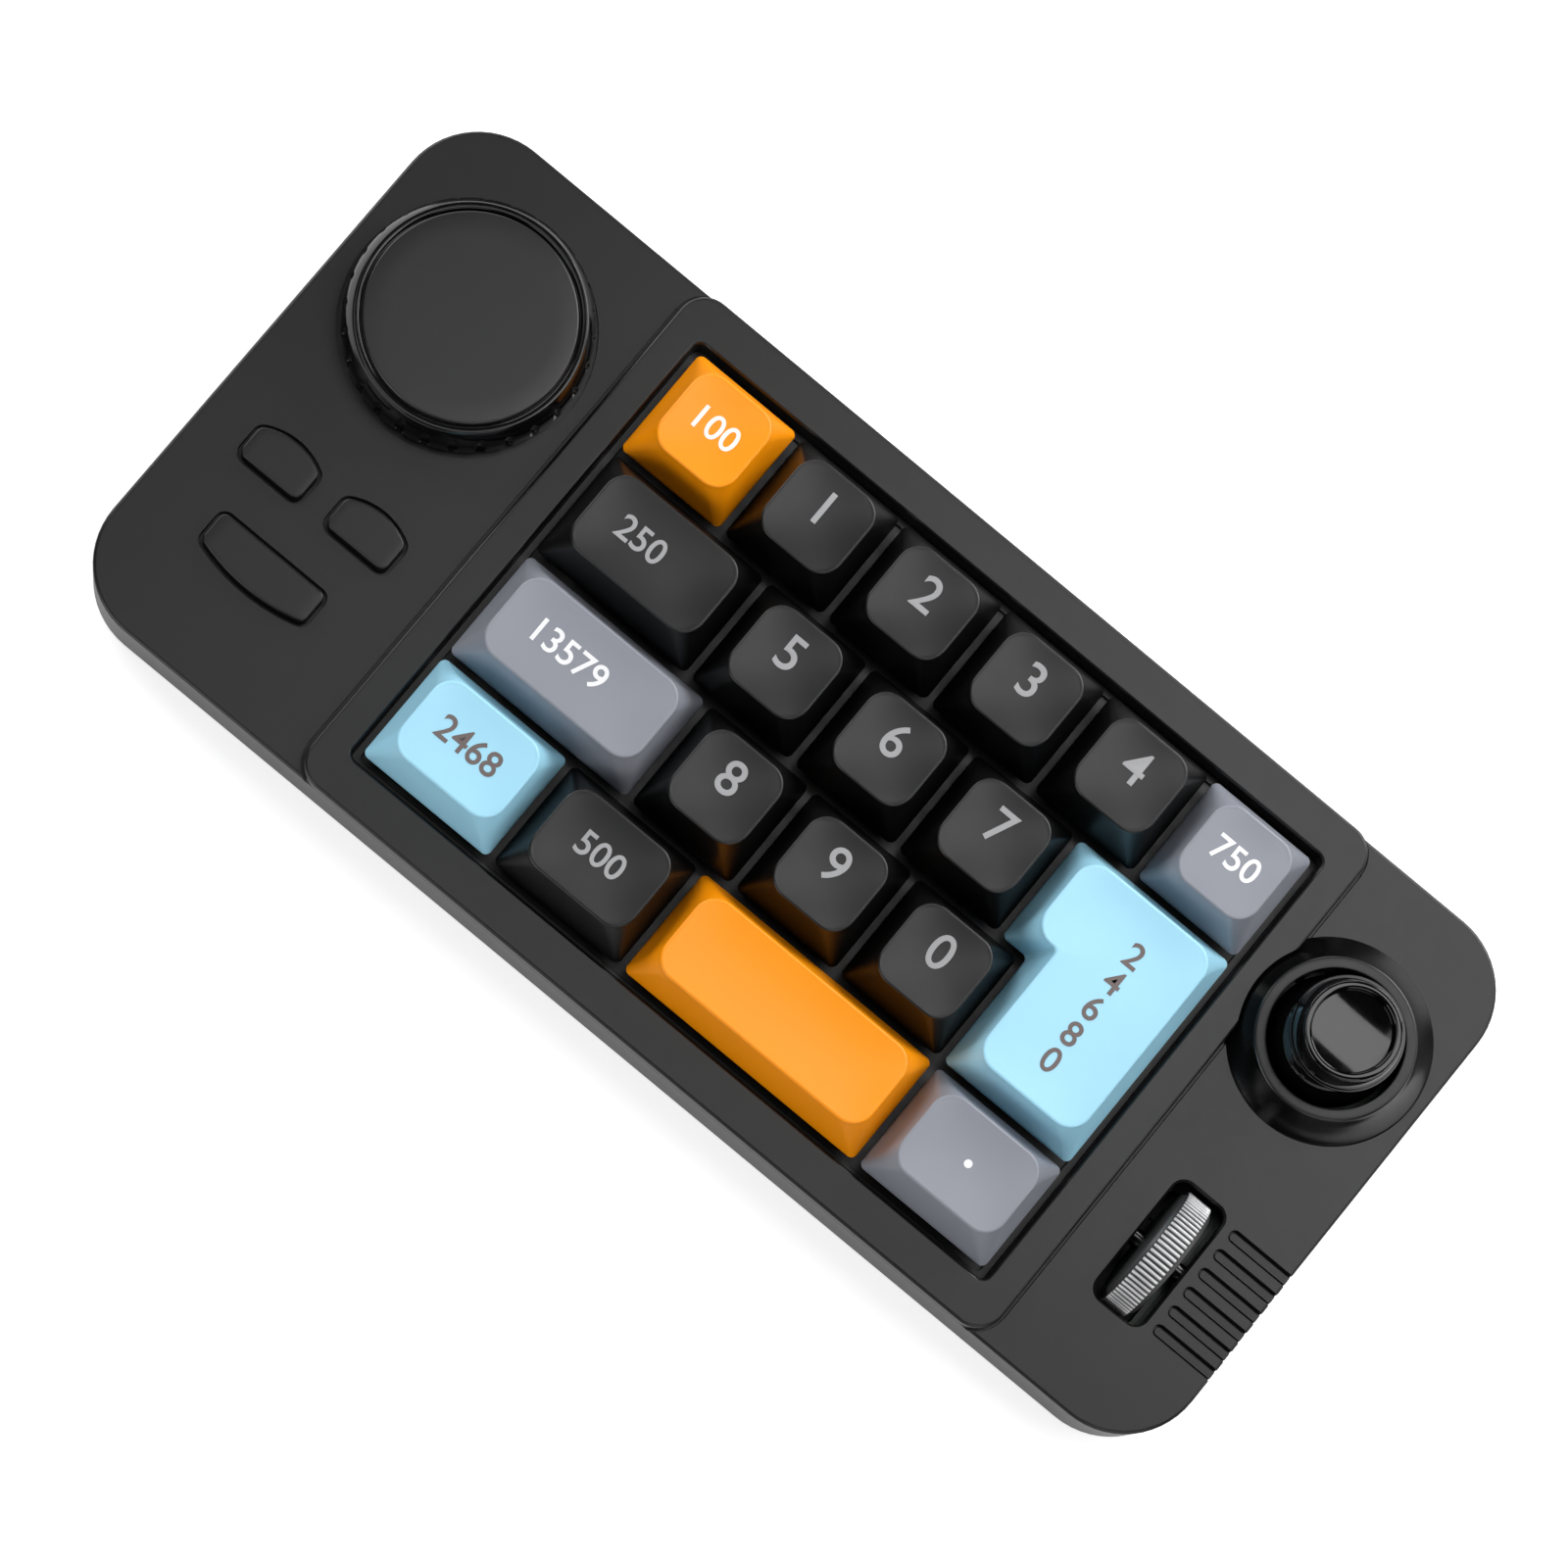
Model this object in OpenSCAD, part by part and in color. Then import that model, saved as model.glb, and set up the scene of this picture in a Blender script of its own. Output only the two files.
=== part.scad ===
// Macro keypad with knobs: a 6 by 4 unit block of sculpted keys in a raised frame, with a turning
// dial and three buttons on the left wing and a thumb stick and a scroll wheel on the right wing.
// Millimetres, +Z up. Origin: centre of the body outline, on the plane that the feet stand on.

/* [Body] */
// Length of the body along X
body_len = 197.4; // [190:0.1:215]
// Width of the body along Y
body_wid = 90.8; // [88:0.1:96]
// Corner radius of the body outline
corner_r = 12.5; // [11:0.1:16]
// Height of the two wing decks above the table
deck_z = 15.2; // [15:0.1:18]
// Height of the body's lower edge above the table
base_z = 1; // [0.6:0.1:1.4]
// Thickness of the side walls
wall = 2.2; // [1.8:0.1:2.6]
// Thickness of the decks
deck_t = 2; // [1.6:0.1:2.2]
// Radius of the body's upper edges
edge_r = 0.5; // [0.2:0.05:0.8]

/* [Key frame] */
// Length of the raised frame along X
frame_len = 126; // [124:0.1:128]
// Height of the frame above the decks
frame_h = 2.1; // [1.6:0.1:2.6]
// Corner radius of the frame outline
frame_r = 4.4; // [3:0.1:6]
// Clearance between the keys and the frame opening
key_margin = 1.27; // [1:0.01:1.4]
// Offset of the key block from the body centre along X
key_x = 7.2; // [6:0.1:8]

/* [Keys] */
// Distance from key centre to key centre
key_pitch = 19.05; // [19.05]
// Width of a one-unit keycap at its lower edge
cap_base = 18.1; // [17.8:0.1:18.3]
// Height of a keycap
cap_h = 8.6; // [8:0.1:9.4]
// Inset of the top face from the lower edge, each side
cap_inset = 2.22; // [1.8:0.01:2.6]
// Corner radius of the top face
cap_top_r = 3.5; // [2.5:0.1:4]
// Depth of the dished top
cap_dish = 0.4; // [0.2:0.05:0.6]
// Key travel
key_travel = 4; // [3:0.1:4]

/* [Dial] */
// Largest radius of the dial
dial_r = 18.4; // [17:0.1:19]
// Height of the dial's top ring above the deck
dial_h = 8.3; // [7:0.1:10]
// Number of notches round the dial
dial_notches = 28; // [20:1:36]
// Depth of a notch
notch_depth = 0.55; // [0.3:0.05:0.8]

/* [Buttons] */
// Height of the buttons above the deck
button_h = 1.6; // [1:0.1:2]
// Gap round each button
button_gap = 0.65; // [0.4:0.05:0.8]
// Button travel
button_travel = 0.5; // [0.3:0.1:0.5]

/* [Thumb stick] */
// Radius of the collar where it meets the deck
collar_r = 15; // [14:0.1:15.5]
// Height of the collar above the deck
collar_h = 4.8; // [4:0.1:5.5]
// Radius of the hole in the collar
collar_hole_r = 10; // [9.9:0.1:10.6]
// Radius of the bell below the stick's cap
bell_r = 9.6; // [9:0.1:9.7]
// Height of the stick's pivot
pivot_z = 14.5; // [14.3:0.1:14.7]

/* [Scroll wheel] */
// Radius of the scroll wheel over its ribs
wheel_r = 9.9; // [9:0.1:9.9]
// Width of the ribbed band
wheel_band = 3.9; // [3:0.1:4.4]
// Width of the whole wheel
wheel_wid = 5.4; // [5:0.1:6]
// Number of ribs round the wheel
wheel_ribs = 74; // [60:1:80]

/* [Hidden] */
$fn = 96;
eps = 0.01;

// Places of the knobs on the wings
dial_pos = [-77.1, 19.2];
button_left_pos = [-84.9, -12.5];
button_right_pos = [-69.1, -12.5];
button_wide_pos = [-77.05, -26.7];
stick_pos = [82, 19.45];
wheel_pos = [82, -19.55];
wheel_z = 11.75;

// Heights of the inner layers
floor_z = 2.5;
pcb_z = 4.6;
pcb_t = 1.6;
pcb_top = pcb_z + pcb_t;
plate_top = pcb_top + 5;
plate_t = 1.5;
cap_clearance = 2;
cap_z = plate_top + key_travel + cap_clearance;
frame_z = deck_z + frame_h;
inner_z = deck_z - deck_t;

// Key block: units of width in each row, back row first; the last keys of rows 2 and 3 are one
// tall two-row key, so they are left out here.
ROWS = [
    [1, 1, 1, 1, 1, 1],
    [1.5, 1, 1, 1],
    [1.75, 1, 1, 1],
    [1.25, 1.25, 2.25, 1.25]
];
ROW_NAMES = ["r1", "r2", "r3", "r4"];
KEY_COLOURS = [
    ["orange", "dimgray", "dimgray", "dimgray", "dimgray", "slategray"],
    ["dimgray", "dimgray", "dimgray", "dimgray"],
    ["slategray", "dimgray", "dimgray", "dimgray"],
    ["lightskyblue", "dimgray", "orange", "slategray"]
];
units_x = 6;
units_y = 4;
enter_top_units = 1.5;
enter_low_units = 1.25;
cap_gap = key_pitch - cap_base;
cap_wall = 1.4;
cap_foot_r = 1;
cap_ceiling = 2.1;
stab_offset = 11.94;
opening_len = units_x * key_pitch - cap_gap + 2 * key_margin;
opening_wid = units_y * key_pitch - cap_gap + 2 * key_margin;
opening_r = 1.3;
skirt_t = 2;

// Sum of the first n entries of a list
function sum_to(v, n) = n <= 0 ? 0 : v[n - 1] + sum_to(v, n - 1);
// Centre of key c in row r, in the part's frame
function key_pos(r, c) = [
    key_x + key_pitch * (sum_to(ROWS[r], c) + ROWS[r][c] / 2 - units_x / 2),
    key_pitch * ((units_y - 1) / 2 - r)
];
// Centre of the switch under the tall two-row key
enter_pos = [key_x + key_pitch * (units_x - enter_low_units) / 2, 0];
// Centres of all switches
SWITCHES = concat(
    [for (r = [0:len(ROWS) - 1]) for (c = [0:len(ROWS[r]) - 1]) key_pos(r, c)],
    [enter_pos]
);
// Centres of the stabiliser housings: beside the 2.25 unit key, and before and behind the tall key
STABS = concat(
    [for (s = [-1, 1]) [key_pos(3, 2), [s * stab_offset, 0], 0]],
    [for (s = [-1, 1]) [enter_pos, [0, s * stab_offset], 90]]
);

CASE_SCREWS = [
    [87.5, 34.5], [-87.5, 34.5], [87.5, -34.5], [-87.5, -34.5], [-62, 0], [75.6, 0]
];
PLATE_SCREWS = [for (sx = [-1, 1]) for (sy = [-1, 1]) [key_x + sx * 62.5, sy * 34]];
FEET = [for (sx = [-1, 1]) for (sy = [-1, 1]) [sx * 74, sy * 34]];
foot_r = 6;
foot_recess = 0.4;

// ---- Shapes used by several pieces ----

// Flat rounded rectangle, centred
module rounded_rect(x, y, r) {
    square([x - 2 * r, y], center = true);
    square([x, y - 2 * r], center = true);
    for (sx = [-1, 1]) for (sy = [-1, 1])
        translate([sx * (x / 2 - r), sy * (y / 2 - r)]) circle(r);
}

// Upright block with a rounded rectangular outline
module rounded_block(x, y, h, r) {
    linear_extrude(h) rounded_rect(x, y, r);
}

// Section of a slab's outer edge: w wide, h high, its upper and lower outer corners rounded
module edge_section(w, h, top_r, low_r) {
    difference() {
        square([w, h]);
        translate([w - top_r, h - top_r]) difference() {
            square(top_r + 1);
            circle(top_r);
        }
        if (low_r > 0) translate([w - low_r, low_r]) difference() {
            translate([0, -low_r - 1]) square([low_r + 1, low_r + 1]);
            circle(low_r);
        }
    }
}

// Block h high with a rounded rectangular outline, corner radius r, whose edge has the section
// given as a child: it starts on the corner's axis and runs outwards
module edged_block(x, y, h, r) {
    ix = x / 2 - r;
    iy = y / 2 - r;
    translate([-ix, -iy, 0]) cube([2 * ix, 2 * iy, h]);
    for (q = [0:3]) {
        sx = q == 0 || q == 3 ? 1 : -1;
        sy = q < 2 ? 1 : -1;
        translate([sx * ix, sy * iy, 0]) rotate([0, 0, 90 * q])
            rotate_extrude(angle = 90) children(0);
    }
    for (s = [0, 180]) rotate([0, 0, s]) {
        translate([ix, iy, 0]) rotate([90, 0, 0]) linear_extrude(2 * iy) children(0);
        translate([-ix, iy, 0]) rotate([90, 0, 90]) linear_extrude(2 * ix) children(0);
    }
}

// Block with a rounded rectangular outline whose upper and lower edges are rounded too
module soft_slab(x, y, h, r, top_r, low_r) {
    edged_block(x, y, h, r) edge_section(r, h, top_r, low_r);
}

// Cutter that breaks the upper edge of an opening x by y with corner radius r: it stands below
// and above z = 0 and flares outwards by lip over the last lip of depth
module lip_cut(x, y, r, lip) {
    over = 0.5;
    translate([0, 0, -lip]) edged_block(x, y, lip + over, r)
        polygon([[0, 0], [r, 0], [r + lip + over, lip + over], [0, lip + over]]);
}

// Screw standing on its head, from z = 0 upward
module screw(head_r, head_h, shank_r, length) {
    difference() {
        cylinder(h = head_h, r = head_r);
        translate([0, 0, -eps]) cylinder(h = head_h * 0.6, r = head_r * 0.45, $fn = 6);
    }
    translate([0, 0, head_h]) cylinder(h = length, r = shank_r);
}

// ---- Keycaps ----

// A right-angled corner at v, rounded by r, as points from the side towards a to the side towards b
function corner_arc(a, v, b, r, steps) =
    let (u = (a - v) / norm(a - v), w = (b - v) / norm(b - v), c = v + r * (u + w))
    [for (i = [0:steps]) c - r * (w * cos(90 * i / steps) + u * sin(90 * i / steps))];

// Ring of points round a right-angled outline with rounded corners, lifted to height z. The sixth
// corner, which only the L outline has, points inwards and stays tight.
function ring(outline, r, z, steps) =
    let (n = len(outline))
    [for (k = [0:n - 1])
        for (p = corner_arc(outline[(k + n - 1) % n], outline[k], outline[(k + 1) % n],
                            k == 5 ? min(r, inner_corner_r) : r, steps))
            [p.x, p.y, z]];

// Outline of a keycap w units wide, moved inwards by inset
function cap_outline(w, inset) =
    let (x = (w * key_pitch - cap_gap) / 2 - inset, y = cap_base / 2 - inset)
    [[-x, -y], [x, -y], [x, y], [-x, y]];

// Outline of the tall two-row key about its switch: the back row's part is wider than the front's
function enter_outline(inset) =
    let (
        x = (enter_low_units * key_pitch - cap_gap) / 2,
        step = (enter_top_units - enter_low_units) * key_pitch,
        y = key_pitch - cap_gap / 2,
        notch = cap_gap / 2
    )
    [
        [-x + inset, -y + inset], [x - inset, -y + inset], [x - inset, y - inset],
        [-x - step + inset, y - inset], [-x - step + inset, notch + inset],
        [-x + inset, notch + inset]
    ];

// How far the flank has moved in at height fraction t: a little hollow between foot and rim
function flank(t) = cap_inset * (t + 0.25 * t * (1 - t));
// Corner radius at height fraction t
function flank_r(t) = cap_foot_r + (cap_top_r - cap_foot_r) * pow(t, 1.2);

// Solid between stacked rings of points, closed by a flat foot and a fan to a middle point
module loft(rings, middle) {
    n = len(rings[0]);
    m = len(rings);
    polyhedron(
        points = concat([for (k = rings) for (p = k) p], [middle]),
        faces = concat(
            [[for (j = [0:n - 1]) j]],
            [for (k = [0:m - 2]) for (j = [0:n - 1])
                [k * n + j, (k + 1) * n + j, (k + 1) * n + (j + 1) % n]],
            [for (k = [0:m - 2]) for (j = [0:n - 1])
                [k * n + j, (k + 1) * n + (j + 1) % n, k * n + (j + 1) % n]],
            [for (j = [0:n - 1]) [(m - 1) * n + j, m * n, (m - 1) * n + (j + 1) % n]]
        )
    );
}

rim_r = 0.35;
inner_corner_r = 0.9;
FLANK_STEPS = [0, 0.35, 0.7, 1];
DISH_STEPS = [0.72, 0.38];
CORNER_STEPS = 5;

// Outer skin of a cap: hollow flanks, a rounded rim and a dished top around the given middle
module cap_skin(kind, w, middle) {
    top = kind == "enter" ? enter_outline(cap_inset + rim_r) : cap_outline(w, cap_inset + rim_r);
    rim = ring(top, cap_top_r - rim_r, cap_h, CORNER_STEPS);
    rings = concat(
        [for (t = FLANK_STEPS)
            ring(kind == "enter" ? enter_outline(flank(t)) : cap_outline(w, flank(t)),
                 flank_r(t), t * (cap_h - rim_r), CORNER_STEPS)],
        [rim],
        [for (s = DISH_STEPS)
            [for (p = rim)
                [middle.x + s * (p.x - middle.x), middle.y + s * (p.y - middle.y),
                 cap_h - cap_dish * (1 - s * s)]]]
    );
    loft(rings, [middle.x, middle.y, cap_h - cap_dish]);
}

// Hollow below a cap, open at the foot
module cap_hollow(kind, w) {
    taper = 1.75;
    depth = cap_h - cap_ceiling;
    low = kind == "enter" ? enter_outline(cap_wall) : cap_outline(w, cap_wall);
    high = kind == "enter" ? enter_outline(cap_wall + taper) : cap_outline(w, cap_wall + taper);
    mid_x = kind == "enter" ? 1 : 0;
    mid_y = kind == "enter" ? 4 : 0;
    loft(
        [[for (p = low) [p.x, p.y, -eps]], [for (p = high) [p.x, p.y, depth]]],
        [mid_x, mid_y, depth]
    );
}

slider_half = 3.4;
slider_low = plate_top - 0.2;
slider_high = plate_top + 6.4;

// Post below the cap and the switch slider that it is pressed on
module cap_stem() {
    cap_top_in = cap_z + cap_h - cap_ceiling + 0.3;
    translate([0, 0, slider_high - eps]) cylinder(h = cap_top_in - slider_high, r = 2.8);
    translate([-slider_half, -slider_half, slider_low])
        cube([2 * slider_half, 2 * slider_half, slider_high - slider_low]);
}

// Round post of a cap that runs in a stabiliser housing
module stab_post() {
    low = plate_top + 1.2;
    translate([0, 0, low]) cylinder(h = cap_z + cap_h - cap_ceiling + 0.3 - low, r = 2.4);
}

// Key c of row r with its stem
module keycap(r, c) {
    w = ROWS[r][c];
    p = key_pos(r, c);
    color(KEY_COLOURS[r][c]) translate([p.x, p.y, 0]) {
        translate([0, 0, cap_z]) difference() {
            cap_skin("plain", w, [0, 0]);
            cap_hollow("plain", w);
        }
        cap_stem();
        if (w > 2) for (s = [-1, 1]) translate([s * stab_offset, 0, 0]) stab_post();
    }
}

// Plane that divides the tall key's cap, just clear of the notch wall's foot
enter_split = -(enter_low_units * key_pitch - cap_gap) / 2 - 0.02;

// The tall key's cap on one side of that plane, from x = low over a width of 30
module enter_cap(low) {
    translate([0, 0, cap_z]) intersection() {
        difference() {
            cap_skin("enter", 0, [1, 6]);
            cap_hollow("enter", 0);
        }
        translate([low, -30, -1]) cube([30, 60, cap_h + 2]);
    }
}

// The tall two-row key with its stem
module keycap_enter() {
    color("lightskyblue") translate([enter_pos.x, enter_pos.y, 0]) {
        enter_cap(enter_split);
        cap_stem();
        for (s = [-1, 1]) translate([0, s * stab_offset, 0]) stab_post();
    }
}

// The quarter unit by which the tall key is wider in the back row
module keycap_enter_step() {
    color("lightskyblue") translate([enter_pos.x, enter_pos.y, 0]) enter_cap(enter_split - 30);
}

// ---- Case ----

boss_r = 3;
screw_bore_r = 0.85;

// Points along an arc about c from angle a0 to a1, its first and last point left out if trim is 1
function arc_points(c, r, a0, a1, steps, trim = 0) =
    [for (i = [trim:steps - trim])
        let (a = a0 + (a1 - a0) * i / steps) c + r * [cos(a), sin(a)]];

// Outline w wide with rounded corners of radius r, straight flanks side high and a back edge that
// is an arc of radius arc_r, all grown by g. It is centred in Y on half of its full depth.
function arched_outline(w, r, side, arc_r, g) =
    let (
        hw = w / 2 + g,
        big = arc_r + g,
        small = r + g,
        rise = arc_r - sqrt(arc_r * arc_r - w * w / 4),
        low = -(side + rise) / 2 - g,
        centre_y = (side + rise) / 2 - arc_r,
        reach = sqrt(pow(big - small, 2) - pow(hw - small, 2)),
        tip = atan2(reach, hw - small),
        corner_x = hw - small,
        steps = 6
    )
    concat(
        arc_points([-corner_x, low + small], small, 180, 270, steps),
        arc_points([corner_x, low + small], small, 270, 360, steps),
        arc_points([corner_x, centre_y + reach], small, 0, tip, steps),
        arc_points([0, centre_y], big, tip, 180 - tip, 20, 1),
        arc_points([-corner_x, centre_y + reach], small, 180 - tip, 180, steps)
    );

// Flat outline of a small button, its back edge arched, grown by g
module small_outline(g) {
    polygon(arched_outline(12.1, 1.9, 5.85, 10.5, g));
}

// Flat outline of the wide button, its front edge arched, grown by g
module wide_outline(g) {
    rotate([0, 0, 180]) polygon(arched_outline(20, 1.7, 6.15, 31, g));
}

slot_x = 8.8;
slot_y = 21;
slot_r = 2;
groove_w = 2;
groove_pitch = 3.44;
groove_depth = 1.1;
slot_lip = 0.35;
groove_start = 88.9;
grooves = 6;
seam_w = 0.45;
seam_depth = 0.7;
dial_seat_r = dial_r + 0.3;
dial_seat_depth = 0.5;
bush_hole_r = 3.7;
stick_hole_r = collar_hole_r + 0.4;
usb_x = 0;
usb_z = pcb_top + 1.65;
usb_w = 9;
usb_h = 3.3;

// Upper shell: both decks, the side walls and the screw bosses, open below. A narrow seam runs
// round the foot of the key frame.
module top_cover() {
    color([0.2, 0.2, 0.2]) difference() {
        union() {
            difference() {
                translate([0, 0, base_z])
                    soft_slab(body_len, body_wid, deck_z - base_z, corner_r, edge_r, 1);
                translate([0, 0, -1]) rounded_block(body_len - 2 * wall, body_wid - 2 * wall,
                    inner_z + 1, corner_r - wall);
            }
            for (p = CASE_SCREWS) translate([p.x, p.y, floor_z])
                cylinder(h = inner_z - floor_z + eps, r = boss_r);
            for (p = PLATE_SCREWS) translate([p.x, p.y, plate_top])
                cylinder(h = inner_z - plate_top + eps, r = 2.3);
        }
        for (p = CASE_SCREWS) translate([p.x, p.y, floor_z - 1]) cylinder(h = 8, r = 1.05);
        for (p = PLATE_SCREWS) translate([p.x, p.y, plate_top - 1]) cylinder(h = 4, r = screw_bore_r);
        translate([key_x, 0, inner_z - 1]) rounded_block(opening_len + 2 * skirt_t + 0.2,
            opening_wid + 2 * skirt_t + 0.2, deck_t + 2, opening_r + skirt_t);
        translate([dial_pos.x, dial_pos.y, deck_z - dial_seat_depth])
            cylinder(h = 2, r = dial_seat_r);
        translate([dial_pos.x, dial_pos.y, inner_z - 1]) cylinder(h = deck_t + 2, r = bush_hole_r);
        for (p = [button_left_pos, button_right_pos]) translate([p.x, p.y, inner_z - 1])
            linear_extrude(deck_t + 2) small_outline(0);
        translate([button_wide_pos.x, button_wide_pos.y, inner_z - 1])
            linear_extrude(deck_t + 2) wide_outline(0);
        translate([stick_pos.x, stick_pos.y, inner_z - 1])
            cylinder(h = deck_t + 2, r = stick_hole_r);
        translate([wheel_pos.x, wheel_pos.y, inner_z - 1])
            rounded_block(slot_x, slot_y, deck_t + 2, slot_r);
        translate([wheel_pos.x, wheel_pos.y, deck_z]) lip_cut(slot_x, slot_y, slot_r, slot_lip);
        for (k = [0:grooves - 1])
            translate([groove_start, wheel_pos.y + groove_pitch * (k - (grooves - 1) / 2),
                       deck_z - groove_depth]) {
                cylinder(h = 2, r = groove_w / 2);
                translate([0, -groove_w / 2, 0]) cube([20, groove_w, 2]);
            }
        translate([key_x, 0, deck_z - seam_depth]) difference() {
            rounded_block(frame_len + 2 * seam_w, body_wid + 2 * seam_w, 3, frame_r + seam_w);
            translate([0, 0, -1]) rounded_block(frame_len - seam_w, body_wid + seam_w, 5, frame_r);
        }
        translate([usb_x, body_wid / 2 - wall - 1, usb_z]) rotate([-90, 0, 0])
            rounded_block(usb_w + 0.4, usb_h + 0.4, wall + 2, (usb_h + 0.4) / 2 - eps);
    }
}

// Lower shell: a plate let in between the walls, with screw seats, foot seats and a wheel pocket
module bottom_cover() {
    wheel_pocket_z = 1.6;
    color([0.16, 0.16, 0.16]) difference() {
        translate([0, 0, base_z]) rounded_block(body_len - 2 * wall - 0.2,
            body_wid - 2 * wall - 0.2, floor_z - base_z, corner_r - wall - 0.1);
        for (p = CASE_SCREWS) translate([p.x, p.y, base_z - 1]) {
            cylinder(h = 2, r = 2.2);
            cylinder(h = 4, r = 1.2);
        }
        for (p = FEET) translate([p.x, p.y, base_z - 1])
            cylinder(h = 1 + foot_recess, r = foot_r + 0.1);
        translate([wheel_pos.x - 3.2, wheel_pos.y - 5, wheel_pocket_z]) cube([6.4, 10, 3]);
    }
}

// Raised frame round the keys: a flange on the shell, a skirt down to the switch plate with a
// ledge at its foot, and a cut where the stick's collar stands
module key_frame() {
    cone = (collar_r - collar_top_r) / collar_h;
    gap = 0.12;
    lip = 0.35;
    ledge = 1.15;
    ledge_t = 0.9;
    color([0.24, 0.24, 0.24]) difference() {
        union() {
            translate([key_x, 0, deck_z])
                soft_slab(frame_len, body_wid, frame_h, frame_r, edge_r, 0);
            translate([key_x, 0, plate_top]) rounded_block(opening_len + 2 * skirt_t,
                opening_wid + 2 * skirt_t, deck_z - plate_top + eps, opening_r + skirt_t);
        }
        translate([key_x, 0, plate_top + ledge_t])
            rounded_block(opening_len, opening_wid, frame_z - plate_top, opening_r);
        translate([key_x, 0, plate_top - 1])
            rounded_block(opening_len - 2 * ledge, opening_wid - 2 * ledge, 4, 0.8);
        translate([key_x, 0, frame_z]) lip_cut(opening_len, opening_wid, opening_r, lip);
        translate([stick_pos.x, stick_pos.y, deck_z])
            cylinder(h = frame_h + 1, r1 = collar_r + gap, r2 = collar_r + gap - cone * (frame_h + 1));
    }
}

switch_hole = 14;
switch_flange = 15.6;

// Plate that the switches clip into
module switch_plate() {
    color("gray") difference() {
        translate([key_x, 0, plate_top - plate_t]) rounded_block(129.4, 84.8, plate_t, 2);
        for (p = SWITCHES) translate([p.x - switch_hole / 2, p.y - switch_hole / 2, plate_top - 3])
            cube([switch_hole, switch_hole, 4]);
        for (s = STABS) translate([s[0].x + s[1].x, s[0].y + s[1].y, plate_top - 3])
            rotate([0, 0, s[2]]) translate([-3.45, -6.2, 0]) cube([6.9, 12.4, 4]);
        for (p = PLATE_SCREWS) translate([p.x, p.y, plate_top - 3]) cylinder(h = 4, r = 1);
    }
}

post_r = 1.95;

// Circuit board under the switches and both wings
module main_pcb() {
    color("darkgreen") difference() {
        translate([0, 0, pcb_z]) rounded_block(body_len - 2 * wall - 2.4, body_wid - 2 * wall - 2.4,
            pcb_t, corner_r - wall - 1.2);
        for (p = CASE_SCREWS) translate([p.x, p.y, pcb_z - 1]) cylinder(h = 4, r = boss_r + 0.3);
        for (p = SWITCHES) translate([p.x, p.y, pcb_z - 1]) cylinder(h = 4, r = post_r + 0.05);
        translate([wheel_pos.x, wheel_pos.y, pcb_z - 1]) rounded_block(slot_x - 1.4, 19.4, 4, 1);
    }
}

// Controller and memory chips and a crystal on the board
module board_chips() {
    color("black") {
        translate([-66, 33, pcb_top]) cube([9, 9, 1.1]);
        translate([-50, 40.2, pcb_top]) cube([5, 1.6, 0.9]);
        translate([-92.5, 2.5, pcb_top]) cube([5.2, 6.2, 1.5]);
        translate([72.5, 35, pcb_top]) cube([5, 4, 1.2]);
    }
}

// USB-C socket on the board, its mouth in the back wall
module usb_socket() {
    depth = 7.4;
    mouth_y = body_wid / 2 - 0.6;
    color("silver") translate([usb_x, mouth_y, usb_z]) rotate([90, 0, 0]) {
        difference() {
            rounded_block(usb_w, usb_h, depth, usb_h / 2 - eps);
            translate([0, 0, -1]) rounded_block(usb_w - 0.7, usb_h - 0.7, depth - 0.4,
                usb_h / 2 - 0.35 - eps);
        }
        translate([-3.3, -0.35, 0.8]) cube([6.6, 0.7, depth - 1.2]);
    }
}

// Switch bodies: a lower half through the plate, a collar on it and a stepped upper half
module switch_housings() {
    hole = 2 * slider_half + 0.4;
    color([0.1, 0.1, 0.1]) for (p = SWITCHES) translate([p.x, p.y, 0]) {
        difference() {
            union() {
                translate([-6.9, -6.9, pcb_top]) cube([13.8, 13.8, plate_top - pcb_top + eps]);
                translate([0, 0, plate_top])
                    rounded_block(switch_flange, switch_flange, 1, 0.6);
                translate([0, 0, plate_top + 1]) rounded_block(14, 14, 2.8, 0.6);
                translate([0, 0, plate_top + 3.8]) rounded_block(12, 12, 2.8, 0.6);
            }
            translate([-hole / 2, -hole / 2, pcb_top + 0.6]) cube([hole, hole, 12]);
        }
        translate([0, 0, pcb_z - 1.4]) cylinder(h = pcb_t + 1.4 + eps, r = post_r);
    }
}

// Guides for the outer posts of the two long keys
module stabiliser_housings() {
    color([0.12, 0.12, 0.12]) for (s = STABS)
        translate([s[0].x + s[1].x, s[0].y + s[1].y, 0]) rotate([0, 0, s[2]]) difference() {
            union() {
                translate([-3.35, -6.1, pcb_top]) cube([6.7, 12.2, 5.2]);
                translate([-3.35, -4.6, plate_top]) cube([6.7, 9.2, 4.4]);
            }
            translate([0, 0, pcb_top + 0.8]) cylinder(h = 12, r = 2.7);
        }
}

module case_screws() {
    color("dimgray") for (p = CASE_SCREWS) translate([p.x, p.y, base_z + 0.1])
        screw(2.05, 0.9, 1, 6);
}

module plate_screws() {
    color("silver") for (p = PLATE_SCREWS)
        translate([p.x, p.y, plate_top - plate_t - 1.1]) screw(1.8, 1.1, 0.8, 4.2);
}

module rubber_feet() {
    color([0.08, 0.08, 0.08]) for (p = FEET) translate([p.x, p.y, 0])
        rotate_extrude() edge_section_foot();
}

// Half section of a foot, its lower edge rounded
module edge_section_foot() {
    difference() {
        square([foot_r, base_z + foot_recess]);
        translate([foot_r - 0.4, 0.4]) difference() {
            translate([0, -1.4]) square([1.4, 1.4]);
            circle(0.4);
        }
    }
}

// ---- Dial ----

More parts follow.
